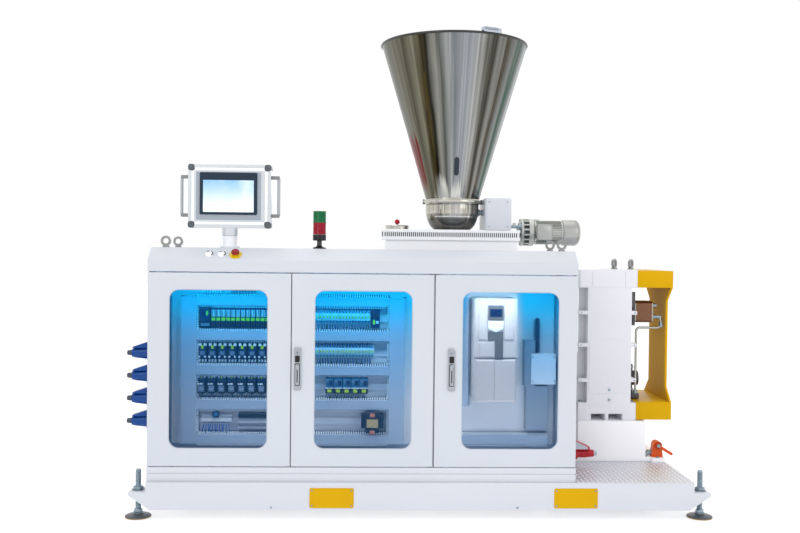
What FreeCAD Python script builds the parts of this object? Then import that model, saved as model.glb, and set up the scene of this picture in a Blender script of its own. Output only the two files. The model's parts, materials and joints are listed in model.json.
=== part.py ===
import FreeCAD, Part
# Twin-screw plastic extruder: a skid with its control cabinet, gearbox, feeder and hopper.
# Millimetres, +Z up, the operator's side towards -Y and the gearbox towards +X.
# The origin is the middle of the four levelling feet, on the floor.

import os
import re
import Sketcher

SIZES = {
    # levelling feet and skid
    "foot_out": 48, "pad_radius": 65, "pad_edge": 9, "pad_height": 24, "pad_neck": 22,
    "stud_radius": 14, "stud_above": 53, "stud_play": 0.3, "nut_height": 18, "nut_radius": 26,
    "beam_bottom": 49, "beam_top": 187, "beam_width": 120, "base_half_length": 1372,
    "base_half_depth": 625, "lug_reach": 84, "lug_drop": 50, "lug_tip": 17, "lug_bevel": 22,
    "cross_width": 100, "cross_end": 138,
    "cover_length": 220, "cover_height": 100, "cover_thickness": 4, "cover_left_x": -453,
    "cover_right_x": 771, "cover_low": 7, "deck_thickness": 4,
    # cabinet carcass
    "cabinet_right": 772, "cabinet_setback": 17, "cabinet_depth": 463, "plinth_height": 72,
    "groove_drop": 29, "groove_height": 4, "groove_depth": 3, "opening_height": 971,
    "side_wall": 25, "back_wall": 20, "post_width": 60, "post_depth": 40,
    "fascia_height": 60, "slope_rise": 60, "slope_run": 82,
    # doors
    "split_left": -661, "split_right": 53, "door_gap": 5, "door_thickness": 20,
    "pin_radius": 4, "pin_play": 0.3, "pin_reach": 30,
    "pane_sill": 88, "pane_head": 82, "pane_corner": 50, "pane_thickness": 4, "pane_inset": 3,
    "pane_play": 0.3, "pane_left_near": 107, "pane_left_far": 113.5, "pane_middle_near": 112.5,
    "pane_middle_far": 108.5, "pane_right_near": 135.5, "pane_right_far": 93,
    "grip_width": 35, "grip_height": 212, "grip_depth": 19, "grip_corner": 8, "grip_rise": 382,
    "grip_middle_inset": 29.5, "grip_right_inset": 83.5,
    # cabinet equipment
    "plate_margin": 12, "plate_rise": 35, "plate_drop": 30, "plate_thickness": 20,
    "duct_height": 50, "duct_depth": 58, "duct_rise": 67, "duct_drop": 164,
    "upright_width": 82, "upright_inset": 111, "upright_offset": 177,
    "right_duct_inset": 143, "right_duct_margin": 72, "device_depth": 62,
    "drive_inset": 218, "drive_width": 233, "drive_drop": 130, "drive_height": 544, "drive_depth": 238,
    # plugs
    "plug_top_z": 819, "plug_pitch": 114, "plug_y": -535, "plug_flange": 78, "plug_flange_depth": 8,
    "plug_collar_radius": 33, "plug_collar_length": 34, "plug_body_radius": 26, "plug_body_length": 42,
    "plug_gland_radius": 13, "plug_gland_length": 26, "plug_lid_length": 62, "plug_lid_rise": 56,
    "plug_lid_tip_rise": 38, "plug_lid_low": 27, "plug_lid_half_width": 30,
    "red_plug_y": -325, "red_plug_z": 275, "red_flange": 96, "red_flange_depth": 12,
    "red_collar_radius": 33, "red_collar_length": 54, "red_body_radius": 23, "red_body_length": 90,
    "red_gland_radius": 14, "red_gland_length": 19, "red_lid_length": 118, "red_lid_rise": 91,
    "red_lid_tip_rise": 38, "red_lid_low": 24, "red_lid_half_width": 36,
    # roof pieces
    "eye_side_inset": 67, "eye_right_inset": 64, "eye_front_inset": 113, "eye_back_inset": 40,
    "eye_ring_radius": 26, "eye_hole_radius": 14, "eye_thickness": 12, "eye_collar_radius": 17,
    "eye_collar_height": 8, "eye_hole_height": 32,
    "knob_left_offset": -82, "knob_right_offset": -20, "stop_offset": 48, "button_slope_run": 34,
    "knob_radius": 15, "knob_height": 14, "stop_ring_radius": 32, "stop_ring_height": 4,
    "stop_stem_radius": 12, "stop_cap_radius": 20, "stop_height": 24,
    # operator panel
    "swivel_from_end": 380, "swivel_inset": 173, "swivel_play": 0.3, "column_radius": 36,
    "column_foot_radius": 50,
    "column_foot_height": 10, "column_height": 62, "head_radius": 40, "head_height": 39, "spigot_radius": 18,
    "spigot_height": 24, "panel_left": -208, "panel_right": 211, "panel_height": 322,
    "panel_depth": 66, "panel_corner": 14, "bezel_left": -149, "bezel_right": 142, "bezel_rise": 67,
    "bezel_height": 214, "bezel_depth": 6, "bezel_proud": 2, "rail_radius": 8, "rail_out": 37,
    "rail_rise": 56, "rail_length": 211,
    # signal tower
    "tower_offset": 458, "tower_inset": 163, "tower_radius": 34, "tower_neck_radius": 13,
    "tower_foot": 6, "tower_flare": 6, "tower_neck_height": 41, "tower_height": 193,
    # hopper
    "hopper_x": 197, "line_gap": 40, "rim_radius": 413, "cone_height": 879, "throat_radius": 152,
    "throat_rise": 175, "sheet_metal": 3, "rim_bead": 7, "rim_play": 0.3, "clamp_width": 19,
    "clamp_height": 30, "bowl_height": 110, "bowl_foot_radius": 115, "shaft_rise": 102, "shaft_radius": 11,
    "shaft_collar_radius": 19, "shaft_collar_length": 10, "sensor_angle": 66, "sensor_length": 112,
    "sensor_width": 32, "sensor_height": 34,
    # feeder
    "feeder_left": -187, "feeder_right": 558, "feeder_half_depth": 120, "feeder_height": 194,
    "hood_overhang_x": 20, "hood_overhang_right": 15, "hood_overhang_y": 10, "hood_height": 61,
    "hood_wall": 6, "vent_pitch": 11.4, "vent_width": 5, "vent_rise": 20,
    "vent_height": 24, "vent_inset": 15,
    "lid_x": -118, "lid_radius": 70.5, "lid_height": 25, "ball_radius": 15, "ball_rise": 44,
    "ball_stem_radius": 6,
    "chest_gap": 21, "chest_width": 152, "chest_height": 180, "chest_half_depth": 135, "chest_corner": 18,
    "chest_edge": 7,
    "motor_drop": 8, "motor_neck_radius": 20, "motor_neck_length": 17, "reducer_radius": 80,
    "reducer_length": 97, "motor_body_radius": 69, "motor_body_length": 162, "cowl_radius": 75,
    "cowl_length": 83, "cowl_dome": 22, "motor_box": 88, "motor_box_out": 145, "motor_box_depth": 60,
    # gearbox and pedestal
    "gear_from_end": 484, "gear_width": 325, "gear_height": 838, "gear_half_depth": 240,
    "gear_head": 102, "gear_sole": 98, "gear_left_step": 49, "gear_right_step": 30,
    "rib_height": 20, "rib_low_rise": 223, "rib_middle_rise": 418, "rib_high_rise": 598,
    "pocket_width": 78, "pocket_height": 36, "pocket_depth": 150, "pocket_left_inset": 113,
    "pocket_right_inset": 211, "gear_eye_left_inset": 231, "gear_eye_left_before": 90,
    "gear_eye_right_inset": 312, "gear_eye_right_before": 140, "gear_eye_turn": 50,
    "pedestal_before": 3, "pedestal_beyond": 50, "pedestal_half_depth": 265, "pedestal_height": 200,
    "ledge_before": 108, "ledge_height": 23,
    # rear guard
    "guard_length": 199, "guard_top_gap": 5, "guard_top_height": 94, "guard_foot_gap": 4,
    "guard_foot_height": 98, "guard_plate": 12, "guard_waist": 85, "guard_taper": 76,
    # oil cooler, pump and pipe
    "cooler_out": 15, "cooler_width": 102, "cooler_drop": 179, "cooler_height": 121,
    "cooler_before": 145, "cooler_depth": 120, "cooler_plate_below": 17, "cooler_plate_above": 22,
    "cooler_plate_thickness": 12, "cooler_bracket_drop": 128, "cooler_bracket_height": 84,
    "pump_before": 110, "pump_depth": 80, "pump_rise": 106, "pump_height": 192, "pump_out": 15,
    "pump_dome_radius": 42, "pump_dome_length": 36, "pump_dome_rise": 110, "pump_foot_height": 30,
    "pump_foot_out": 43, "pump_play": 0.3, "pipe_radius": 6.5, "pipe_before": 125, "pipe_port_rise": 33,
    "pipe_out": 51, "pipe_drop": 30, "pipe_down_out": 27, "pipe_bend": 22,
    # valve
    "valve_beyond": 69, "valve_before": 235, "valve_foot_radius": 31, "valve_neck_radius": 24,
    "valve_pivot_rise": 65, "valve_half_depth": 22, "lever_gap": 5, "lever_pin_radius": 7,
    "lever_hub_radius": 11, "lever_length": 85, "lever_tip_radius": 8, "lever_thickness": 14,
    "lever_drop": 31, "block_width": 72, "block_front": 20,
    # barrel, stands and main motor
    "barrel_rise": 586, "barrel_radius": 100, "barrel_inset": 20, "die_flange_radius": 165,
    "die_flange_depth": 40, "die_bolt_circle": 260, "die_bolt_radius": 9, "die_bolt_depth": 30,
    "jacket_inset": 82, "jacket_half_depth": 225, "jacket_below": 210, "jacket_above": 210, "jacket_wall": 4,
    "jacket_end": 20, "jacket_hole_play": 0.3, "stand_half_depth": 150, "boss_margin": 30,
    "main_motor_radius": 150, "main_motor_length": 588, "main_motor_rise": 176, "main_motor_flange": 30,
    "main_motor_flange_radius": 175, "main_motor_foot_inset": 120, "main_motor_foot_width": 340,
    "main_motor_foot_half_depth": 150, "main_motor_box_depth": 60, "die_spigot_radius": 70,
    "die_spigot_depth": 30,
}

# Places that pieces share, each worked out from the sizes and the places above it.
PLACES = {
    "base_left": "-base_half_length", "base_right": "base_half_length",
    "base_front": "-base_half_depth", "base_back": "base_half_depth",
    "foot_x": "base_half_length + foot_out", "foot_y": "base_half_depth - beam_width / 2",
    "cross_pitch": "(base_half_length - cross_end) / 2",
    "deck_top": "beam_top + deck_thickness",
    "plinth_top": "beam_top + plinth_height",
    "opening_top": "plinth_top + opening_height",
    "roof": "opening_top + fascia_height + slope_rise",
    "cabinet_front": "base_front + cabinet_setback",
    "cabinet_back": "cabinet_front + cabinet_depth",
    "carcass_front": "cabinet_front + door_thickness + door_gap",
    "plate_front": "cabinet_back - back_wall - plate_thickness",
    "door_bottom": "plinth_top + door_gap",
    "door_top": "opening_top - door_gap",
    "hinge_y": "cabinet_front + door_thickness / 2",
    "duct_low": "plinth_top + duct_rise",
    "duct_high": "opening_top - duct_drop",
    "duct_pitch": "(duct_high - duct_low) / 4",
    "upright_left_x": "base_left + side_wall + upright_inset",
    "upright_right_x": "split_right - upright_offset",
    "drive_left": "split_right + drive_inset",
    "drive_top": "opening_top - drive_drop",
    "line_y": "cabinet_back + line_gap + jacket_half_depth",
    "ledge_top": "deck_top + ledge_height",
    "gear_bottom": "ledge_top + pedestal_height",
    "gear_top": "gear_bottom + gear_height",
    "gear_left": "base_right - gear_from_end",
    "gear_right": "gear_left + gear_width",
    "gear_body_left": "gear_left + gear_left_step",
    "gear_body_right": "gear_right - gear_right_step",
    "pedestal_right": "gear_right + pedestal_beyond",
    "valve_x": "pedestal_right + valve_beyond",
    "valve_y": "line_y - valve_before",
    "cooler_left": "gear_right + cooler_out",
    "cooler_right": "cooler_left + cooler_width",
    "cooler_top": "gear_top - cooler_drop",
    "cooler_bottom": "cooler_top - cooler_height",
    "cooler_front_y": "line_y - cooler_before",
    "pump_bottom": "gear_bottom + pump_rise",
    "pump_front_y": "line_y - pump_before",
    "barrel_z": "gear_bottom + barrel_rise",
    "barrel_left": "base_left + barrel_inset",
    "main_motor_z": "gear_bottom + main_motor_rise",
    "main_motor_left": "gear_left - main_motor_length",
    "jacket_bottom": "barrel_z - jacket_below",
    "jacket_top": "barrel_z + jacket_above",
    "jacket_left": "base_left + jacket_inset",
    "feeder_top": "jacket_top + feeder_height",
    "hood_left": "feeder_left - hood_overhang_x",
    "hood_right": "feeder_right + hood_overhang_right",
    "hood_top": "feeder_top + hood_height",
    "chest_left": "hopper_x + throat_radius + chest_gap",
    "chest_right": "chest_left + chest_width",
    "swivel_x": "base_left + swivel_from_end",
    "clamp_radius": "throat_radius + clamp_width",
}

TURNS = {  # an axis name to the turn that lays a piece made along Z along that axis
    "z": ((0, 0, 1), 0), "x": ((0, 1, 0), 90), "-x": ((0, 1, 0), -90),
    "y": ((1, 0, 0), -90), "-y": ((1, 0, 0), 90),
}

doc = FreeCAD.newDocument("plastic_extruder")
sheet = doc.addObject("Spreadsheet::Sheet", "sizes")
NAMES = {**SIZES, **{alias: "=" + text for alias, text in PLACES.items()}}
for row, (alias, content) in enumerate(NAMES.items(), 1):
    sheet.set(f"A{row}", alias)
    sheet.set(f"B{row}", str(content))
    sheet.setAlias(f"B{row}", alias)
doc.recompute()

nodes = []


# ---------------------------------------------------------------- helpers

def formula(text):
    """Put the sheet's name before each alias in a formula."""
    return re.sub(r"[a-z]\w*", lambda word: f"sizes.{word[0]}" if word[0] in NAMES else word[0], str(text))


def number(text):
    """The present value of a formula."""
    value = sheet.evalExpression(formula(text))
    return float(getattr(value, "Value", value))


def place(piece, x, y, z, lay="z"):
    """Lay a piece made along Z along another axis and bind its origin to three formulas."""
    axis, angle = TURNS[lay]
    turn = FreeCAD.Rotation(FreeCAD.Vector(*axis), angle)
    piece.Placement = FreeCAD.Placement(FreeCAD.Vector(), turn)
    for name, text in zip("xyz", (x, y, z)):
        piece.setExpression(f"Placement.Base.{name}", formula(text))
    return piece


def block(name, x, y, z):
    """A box between two formulas on each axis."""
    box = doc.addObject("Part::Box", name)
    for size, (low, high) in zip(("Length", "Width", "Height"), (x, y, z)):
        box.setExpression(size, formula(f"({high}) - ({low})"))
    return place(box, x[0], y[0], z[0])


def around(middle, half):
    """The two formulas half a size to each side of a middle."""
    return f"{middle} - ({half})", f"{middle} + ({half})"


def rod(name, radius, length, x, y, z, lay="z"):
    """A cylinder that starts at a point and runs along an axis."""
    cylinder = doc.addObject("Part::Cylinder", name)
    cylinder.setExpression("Radius", formula(radius))
    cylinder.setExpression("Height", formula(length))
    return place(cylinder, x, y, z, lay)


def joined(name, *pieces):
    """Pieces welded or cast together, or like pieces that share one node."""
    fusion = doc.addObject("Part::MultiFuse", name)
    fusion.Shapes = list(pieces)
    fusion.Refine = True
    return fusion


def cut(name, base, *tools):
    """A piece with others taken out of it."""
    result = doc.addObject("Part::Cut", name)
    result.Base = base
    result.Tool = tools[0] if len(tools) == 1 else joined(name + "_tools", *tools)
    result.Refine = True
    return result


def rounded(name, base, direction, radius, chosen=lambda centre: True):
    """Round the edges that run along a direction and whose centres are chosen."""
    doc.recompute()
    fillet = doc.addObject("Part::Fillet", name)
    fillet.Base = base
    size = number(radius)
    edges = []
    for index, edge in enumerate(base.Shape.Edges, 1):
        run = edge.lastVertex().Point - edge.firstVertex().Point
        along = abs(run.dot(FreeCAD.Vector(*direction))) > 0.999 * run.Length > 0
        if along and chosen(edge.CenterOfMass):
            edges.append((index, size, size))
    fillet.Edges = edges
    return fillet


def outline(body, plane, points):
    """A closed outline of straight lines on an origin plane, each corner bound to two formulas."""
    sketch = body.newObject("Sketcher::SketchObject", body.Name + "_outline")
    support = next(item for item in body.Origin.OriginFeatures if item.Role == plane)
    sketch.AttachmentSupport = [(support, "")]
    sketch.MapMode = "FlatFace"
    corners = [FreeCAD.Vector(number(u), number(v), 0) for u, v in points]
    count = len(corners)
    for index, corner in enumerate(corners):
        sketch.addGeometry(Part.LineSegment(corner, corners[(index + 1) % count]), False)
    for index in range(count):
        sketch.addConstraint(Sketcher.Constraint("Coincident", index, 2, (index + 1) % count, 1))
    for index, point in enumerate(points):
        for kind, text in zip(("DistanceX", "DistanceY"), point):
            bound = sketch.addConstraint(Sketcher.Constraint(kind, -1, 1, index, 1, number(text)))
            sketch.setExpression(f"Constraints[{bound}]", formula(text))
    return sketch


def extruded(name, plane, points, low, high):
    """An outline in XZ drawn out along Y, or one in YZ drawn out along X, between two formulas."""
    body = doc.addObject("PartDesign::Body", name)
    pad = body.newObject("PartDesign::Pad", name + "_pad")
    pad.Profile = outline(body, plane, points)
    pad.setExpression("Length", formula(f"({high}) - ({low})"))
    start = {"XZ_Plane": ("0", high, "0"), "YZ_Plane": (low, "0", "0")}[plane]
    return place(body, *start)


def turned(name, points, x, y, z, lay="z"):
    """A profile of radii and heights turned about its axis."""
    body = doc.addObject("PartDesign::Body", name)
    turn = body.newObject("PartDesign::Revolution", name + "_turn")
    turn.Profile = outline(body, "XZ_Plane", points)
    turn.ReferenceAxis = (turn.Profile[0], ["V_Axis"])
    turn.Angle = 360
    return place(body, x, y, z, lay)


def node(label, piece):
    """Name a finished sub-part."""
    piece.Label = label
    nodes.append(piece)


HINGES = ("base_left + door_thickness / 2", "split_right - (door_gap + door_thickness) / 2",
          "cabinet_right - door_thickness / 2")
CROSSES = [f"{step} * cross_pitch" for step in (-2, -1, 0, 1, 2)]


# ---------------------------------------------------------------- skid and feet

def levelling_feet():
    feet = []
    profile = [("0", "0"), ("pad_radius", "0"), ("pad_radius", "pad_edge"), ("pad_neck", "pad_height"),
               ("stud_radius", "pad_height"), ("stud_radius", "beam_top + stud_above"),
               ("0", "beam_top + stud_above")]
    for index, (x, y) in enumerate((x, y) for x in ("-foot_x", "foot_x") for y in ("-foot_y", "foot_y")):
        foot = turned(f"foot_{index}", profile, x, y, "0")
        nut = doc.addObject("Part::Prism", f"foot_nut_{index}")
        nut.Polygon = 6
        nut.setExpression("Circumradius", formula("nut_radius"))
        nut.setExpression("Height", formula("nut_height"))
        place(nut, x, y, "beam_top - lug_drop")
        feet += [foot, nut]
    node("levelling_feet", joined("feet", *feet))


def beam(label, low, high, y):
    """A long beam with a nose at each end that a levelling stud passes through."""
    reach, tip = "(base_half_length + lug_reach)", "(beam_top - lug_drop - lug_tip)"
    shelf, bevel = "(beam_top - lug_drop)", "(base_half_length - lug_bevel)"
    right = [(bevel, "beam_bottom"), (reach, tip), (reach, shelf), ("base_half_length", shelf),
             ("base_half_length", "beam_top")]
    left = [(f"-{u}", v) for u, v in reversed(right)]
    body = extruded(label + "_bar", "XZ_Plane", right + left, low, high)
    holes = [rod(f"{label}_hole_{side}", "stud_radius + stud_play", "beam_top", f"{sign}(foot_x)", y, "0")
             for side, sign in enumerate(("-", ""))]
    node(label, cut(label + "_cut", body, *holes))


def crossmembers():
    bars = [block(f"cross_{index}", around(x, "cross_width / 2"),
                  ("base_front + beam_width", "base_back - beam_width"),
                  ("beam_bottom", "beam_top")) for index, x in enumerate(CROSSES)]
    node("base_crossmembers", joined("crosses", *bars))


def pocket_covers():
    plates = []
    for side, (low, high) in enumerate((("base_front - cover_thickness", "base_front"),
                                        ("base_back", "base_back + cover_thickness"))):
        for index, x in enumerate(("cover_left_x", "cover_right_x")):
            plates.append(block(f"cover_{side}_{index}", around(x, "cover_length / 2"), (low, high),
                                around("(beam_bottom + beam_top) / 2 - cover_low", "cover_height / 2")))
    node("pocket_covers", joined("covers", *plates))


def deck():
    node("deck_plate", block("deck", ("cabinet_right", "base_right"), ("base_front", "base_back"),
                             ("beam_top", "deck_top")))


# ---------------------------------------------------------------- cabinet

def carcass():
    plinth = block("plinth", ("base_left", "cabinet_right"), ("cabinet_front", "cabinet_back"),
                   ("beam_top", "plinth_top"))
    groove_z = ("plinth_top - groove_drop - groove_height", "plinth_top - groove_drop")
    outer = block("groove_outer", ("base_left - groove_depth", "cabinet_right + groove_depth"),
                  ("cabinet_front - groove_depth", "cabinet_back"), groove_z)
    inner = block("groove_inner", ("base_left + groove_depth", "cabinet_right - groove_depth"),
                  ("cabinet_front + groove_depth", "cabinet_back"), groove_z)
    node("cabinet_plinth", cut("plinth_cut", plinth, cut("groove", outer, inner)))
    tall = ("plinth_top", "opening_top")
    node("cabinet_side_left", block("side_left", ("base_left", "base_left + side_wall"),
                                    ("carcass_front", "cabinet_back"), tall))
    node("cabinet_side_right", block("side_right", ("cabinet_right - side_wall", "cabinet_right"),
                                     ("carcass_front", "cabinet_back"), tall))
    node("cabinet_back", block("back", ("base_left + side_wall", "cabinet_right - side_wall"),
                               ("cabinet_back - back_wall", "cabinet_back"), tall))
    posts = [block(f"post_{index}", around(x, "post_width / 2"),
                   ("carcass_front", "carcass_front + post_depth"), tall)
             for index, x in enumerate(("split_left", "split_right"))]
    node("cabinet_posts", joined("posts", *posts))
    slope_foot = "opening_top + fascia_height"
    node("console", extruded("console_body", "YZ_Plane",
                             [("cabinet_front", "opening_top"), ("cabinet_back", "opening_top"),
                              ("cabinet_back", "roof"), ("cabinet_front + slope_run", "roof"),
                              ("cabinet_front", slope_foot)], "base_left", "cabinet_right"))


def hinge_pins():
    length = "door_gap + pin_reach"
    pins = []
    for index, x in enumerate(HINGES):
        pins.append(rod(f"pin_low_{index}", "pin_radius", length, x, "hinge_y", "plinth_top"))
        pins.append(rod(f"pin_high_{index}", "pin_radius", length, x, "hinge_y", f"opening_top - ({length})"))
    node("hinge_pins", joined("pins", *pins))


def pane_block(name, edges, y, play):
    """A block with a window's rounded corners."""
    plain = block(name + "_plain", (f"{edges[0]} + {play}", f"{edges[1]} - {play}"), y,
                  (f"door_bottom + pane_sill + {play}", f"door_top - pane_head - {play}"))
    return rounded(name, plain, (0, 1, 0), f"pane_corner - {play}")


def door(side, left, right, hinge):
    """A door with a round hinge edge, bored for its pins, and its glazed window."""
    back = "cabinet_front + door_thickness"
    edges = (hinge, right) if side == "left" else (left, hinge)
    leaf = block(f"leaf_{side}", edges, ("cabinet_front", back), ("door_bottom", "door_top"))
    knuckle = rod(f"knuckle_{side}", "door_thickness / 2", "door_top - door_bottom", hinge, "hinge_y",
                  "door_bottom")
    bores = [rod(f"bore_{side}_{end}", "pin_radius + pin_play", "pin_reach + pin_play", hinge, "hinge_y", z)
             for end, z in (("low", "door_bottom"), ("high", "door_top - pin_reach - pin_play"))]
    pane_x = (f"{left} + pane_{side}_near", f"{right} - pane_{side}_far")
    window = pane_block(f"hole_{side}", pane_x, ("cabinet_front", back), "0")
    node(f"door_{side}", cut(f"door_cut_{side}", joined(f"door_body_{side}", leaf, knuckle), window, *bores))
    pane_y = ("cabinet_front + pane_inset", "cabinet_front + pane_inset + pane_thickness")
    node(f"window_{side}", pane_block(f"pane_{side}", pane_x, pane_y, "pane_play"))


def handle(side, left):
    plain = block(f"grip_{side}", around(f"{left} + grip_{side}_inset", "grip_width / 2"),
                  ("cabinet_front - grip_depth", "cabinet_front"),
                  ("door_bottom + grip_rise", "door_bottom + grip_rise + grip_height"))
    node(f"handle_{side}", rounded(f"grip_round_{side}", plain, (0, 1, 0), "grip_corner"))


def doors():
    middle_left, right_left = "split_left + door_gap / 2", "split_right + door_gap / 2"
    door("left", "base_left", "split_left - door_gap / 2", HINGES[0])
    door("middle", middle_left, "split_right - door_gap / 2", HINGES[1])
    door("right", right_left, "cabinet_right", HINGES[2])
    handle("middle", middle_left)
    handle("right", right_left)


# ---------------------------------------------------------------- equipment behind the windows

LEFT_RAIL, RIGHT_RAIL = "upright_left_x + upright_width / 2", "upright_right_x - upright_width / 2"
# name: space between ducts from the top, left, right, gaps to the duct below and above, depth
DEVICES = {
    "controller": (0, f"{LEFT_RAIL} + 15", "split_left - 39", 16, 8, "device_depth"),
    "relays": (1, f"{LEFT_RAIL} + 5", "split_left - 49", 10.5, 6.5, "device_depth"),
    "contactors": (2, f"{LEFT_RAIL} + 1", "split_left - 55", 28, 4, "device_depth"),
    "small_terminals": (3, f"{LEFT_RAIL} + 25", f"{LEFT_RAIL} + 189", 45.5, 29.5, "device_depth / 2"),
    "terminals": (3, f"{LEFT_RAIL} + 222", f"{LEFT_RAIL} + 395", 16.5, 6.5, "device_depth"),
    "breakers": (0, "split_left + 101", f"{RIGHT_RAIL} - 100", 41.5, 21.5, "device_depth"),
    "monitor": (0, f"{RIGHT_RAIL} - 95", f"{RIGHT_RAIL} - 48", 19.5, 19.5, "device_depth"),
    "fuses": (1, "split_left + 101", f"{RIGHT_RAIL} - 80", 44.5, 24.5, "device_depth"),
    "motor_breakers": (2, "split_left + 157", f"{RIGHT_RAIL} - 111", 34.5, 14.5, "device_depth"),
    "transformer": (3, f"{RIGHT_RAIL} - 143", f"{RIGHT_RAIL} - 20", 15.5, 3.5, "1.5 * device_depth"),
}
DUCT_SHELF = "duct_low + duct_height / 2"
# name: left, right, bottom, top, depth
RIGHT_BAY = {
    "filter": ("cabinet_right - 164", "cabinet_right - 76", "drive_top - 470", "drive_top - 304",
               "device_depth"),
    "supply": ("cabinet_right - 164", "cabinet_right - 76", f"{DUCT_SHELF} + 29", "drive_top - 480",
               "1.4 * device_depth"),
    "busbar_duct": ("drive_left - 57", "drive_left - 9", f"{DUCT_SHELF} + 155", "drive_top - 4",
                    "duct_depth"),
}


def equipment():
    node("mounting_plate", block("plate", ("base_left + side_wall + plate_margin",
                                           "cabinet_right - side_wall - plate_margin"),
                                 ("plate_front", "cabinet_back - back_wall"),
                                 ("plinth_top + plate_rise", "opening_top - plate_drop")))
    duct_y = ("plate_front - duct_depth", "plate_front")
    ducts = [block(f"duct_{row}", ("upright_left_x", "upright_right_x"), duct_y,
                   around(f"duct_high - {row} * duct_pitch", "duct_height / 2")) for row in range(5)]
    ducts += [block(f"upright_{side}", around(f"upright_{side}_x", "upright_width / 2"), duct_y,
                    ("duct_low - duct_height / 2", "duct_high + duct_height / 2"))
              for side in ("left", "right")]
    ducts.append(block("duct_right_bay",
                       ("split_right + right_duct_inset", "cabinet_right - right_duct_margin"),
                       duct_y, around("duct_low", "duct_height / 2")))
    node("wiring_ducts", joined("ducts", *ducts))
    devices = []
    for name, (space, left, right, below, above, depth) in DEVICES.items():
        devices.append(block(name, (left, right), (f"plate_front - {depth}", "plate_front"),
                             (f"duct_high - {space + 1} * duct_pitch + duct_height / 2 + {below}",
                              f"duct_high - {space} * duct_pitch - duct_height / 2 - {above}")))
    for name, (left, right, bottom, top, depth) in RIGHT_BAY.items():
        devices.append(block(name, (left, right), (f"plate_front - {depth}", "plate_front"), (bottom, top)))
    node("device_rows", joined("devices", *devices))
    node("inverter", block("drive", ("drive_left", "drive_left + drive_width"),
                           ("plate_front - drive_depth", "plate_front"),
                           ("drive_top - drive_height", "drive_top")))


# ---------------------------------------------------------------- plugs on the side walls

def plug(name, prefix, wall, y, z, way):
    """A wall socket with its plug pushed in and the lid resting over it."""
    sign = "-" if way == "-x" else "+"
    def out(distance):
        return f"{wall} {sign} ({distance})"
    face = sorted((wall, out(f"{prefix}_flange_depth")), key=number)
    flange = block(name + "_flange", face, around(y, f"{prefix}_flange / 2"),
                   around(z, f"{prefix}_flange / 2"))
    stops = [f"{prefix}_flange_depth", f"{prefix}_flange_depth + {prefix}_collar_length"]
    stops.append(f"{stops[1]} + {prefix}_body_length")
    stops.append(f"{stops[2]} + {prefix}_gland_length")
    profile = [("0", "0"), (f"{prefix}_collar_radius", "0"), (f"{prefix}_collar_radius", stops[1]),
               (f"{prefix}_body_radius", stops[1]), (f"{prefix}_body_radius * 0.8", stops[2]),
               (f"{prefix}_gland_radius", stops[2]), (f"{prefix}_gland_radius", stops[3]), ("0", stops[3])]
    body = turned(name + "_body", profile, wall, y, z, way)
    start, end = out(f"{prefix}_flange_depth"), out(f"{prefix}_flange_depth + {prefix}_lid_length")
    lid = extruded(name + "_lid", "XZ_Plane",
                   [(start, f"{z} + {prefix}_lid_low"), (end, f"{z} + {prefix}_lid_low"),
                    (end, f"{z} + {prefix}_lid_tip_rise"), (start, f"{z} + {prefix}_lid_rise")],
                   *around(y, f"{prefix}_lid_half_width"))
    return joined(name, flange, body, lid)


def plugs():
    blue = [plug(f"blue_{index}", "plug", "base_left", "plug_y", f"(plug_top_z - {index} * plug_pitch)", "-x")
            for index in range(4)]
    node("blue_plugs", joined("blues", *blue))
    node("red_plug", plug("red", "red", "cabinet_right", "red_plug_y", "red_plug_z", "x"))


# ---------------------------------------------------------------- on the roof

def eye(name, x, y, z, turn="0"):
    """A lifting eye whose hole runs front to back, turned about its own upright axis."""
    collar = rod(name + "_collar", "eye_collar_radius", "eye_collar_height", "0", "0", "0")
    ring = rod(name + "_ring", "eye_ring_radius", "eye_thickness", "0", "eye_thickness / 2",
               "eye_hole_height", "-y")
    hole = rod(name + "_hole", "eye_hole_radius", "eye_thickness * 2", "0", "eye_thickness",
               "eye_hole_height", "-y")
    result = place(cut(name, joined(name + "_solid", collar, ring), hole), x, y, z)
    result.setExpression("Placement.Rotation.Angle", formula(turn))
    return result


def lifting_eyes():
    eyes = [eye(f"eye_{index}", x, y, "roof") for index, (x, y) in enumerate(
        (x, y) for x in ("base_left + eye_side_inset", "cabinet_right - eye_right_inset")
        for y in ("cabinet_front + eye_front_inset", "cabinet_back - eye_back_inset"))]
    eyes += [eye(f"gear_eye_{side}", f"gear_left + gear_eye_{side}_inset", f"line_y - gear_eye_{side}_before",
                 "gear_top", "gear_eye_turn") for side in ("left", "right")]
    node("lifting_eyes", joined("eyes", *eyes))


def control_buttons():
    y = "cabinet_front + button_slope_run"
    z = "opening_top + fascia_height + button_slope_run * slope_rise / slope_run"
    knob = [("0", "0"), ("knob_radius", "0"), ("knob_radius", "knob_height"), ("0", "knob_height")]
    stop = [("0", "0"), ("stop_ring_radius", "0"), ("stop_ring_radius", "stop_ring_height"),
            ("stop_stem_radius", "stop_ring_height"), ("stop_stem_radius", "stop_height / 2"),
            ("stop_cap_radius", "stop_height / 2"), ("stop_cap_radius", "stop_height"), ("0", "stop_height")]
    buttons = []
    for name, profile, x in (("knob_left", knob, "swivel_x + knob_left_offset"),
                             ("knob_right", knob, "swivel_x + knob_right_offset"),
                             ("stop", stop, "swivel_x + stop_offset")):
        button = turned(name, profile, x, y, z, "-y")
        button.setExpression("Placement.Rotation.Angle", formula("atan(slope_rise / slope_run)"))
        buttons.append(button)
    node("control_buttons", joined("buttons", *buttons))


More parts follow.
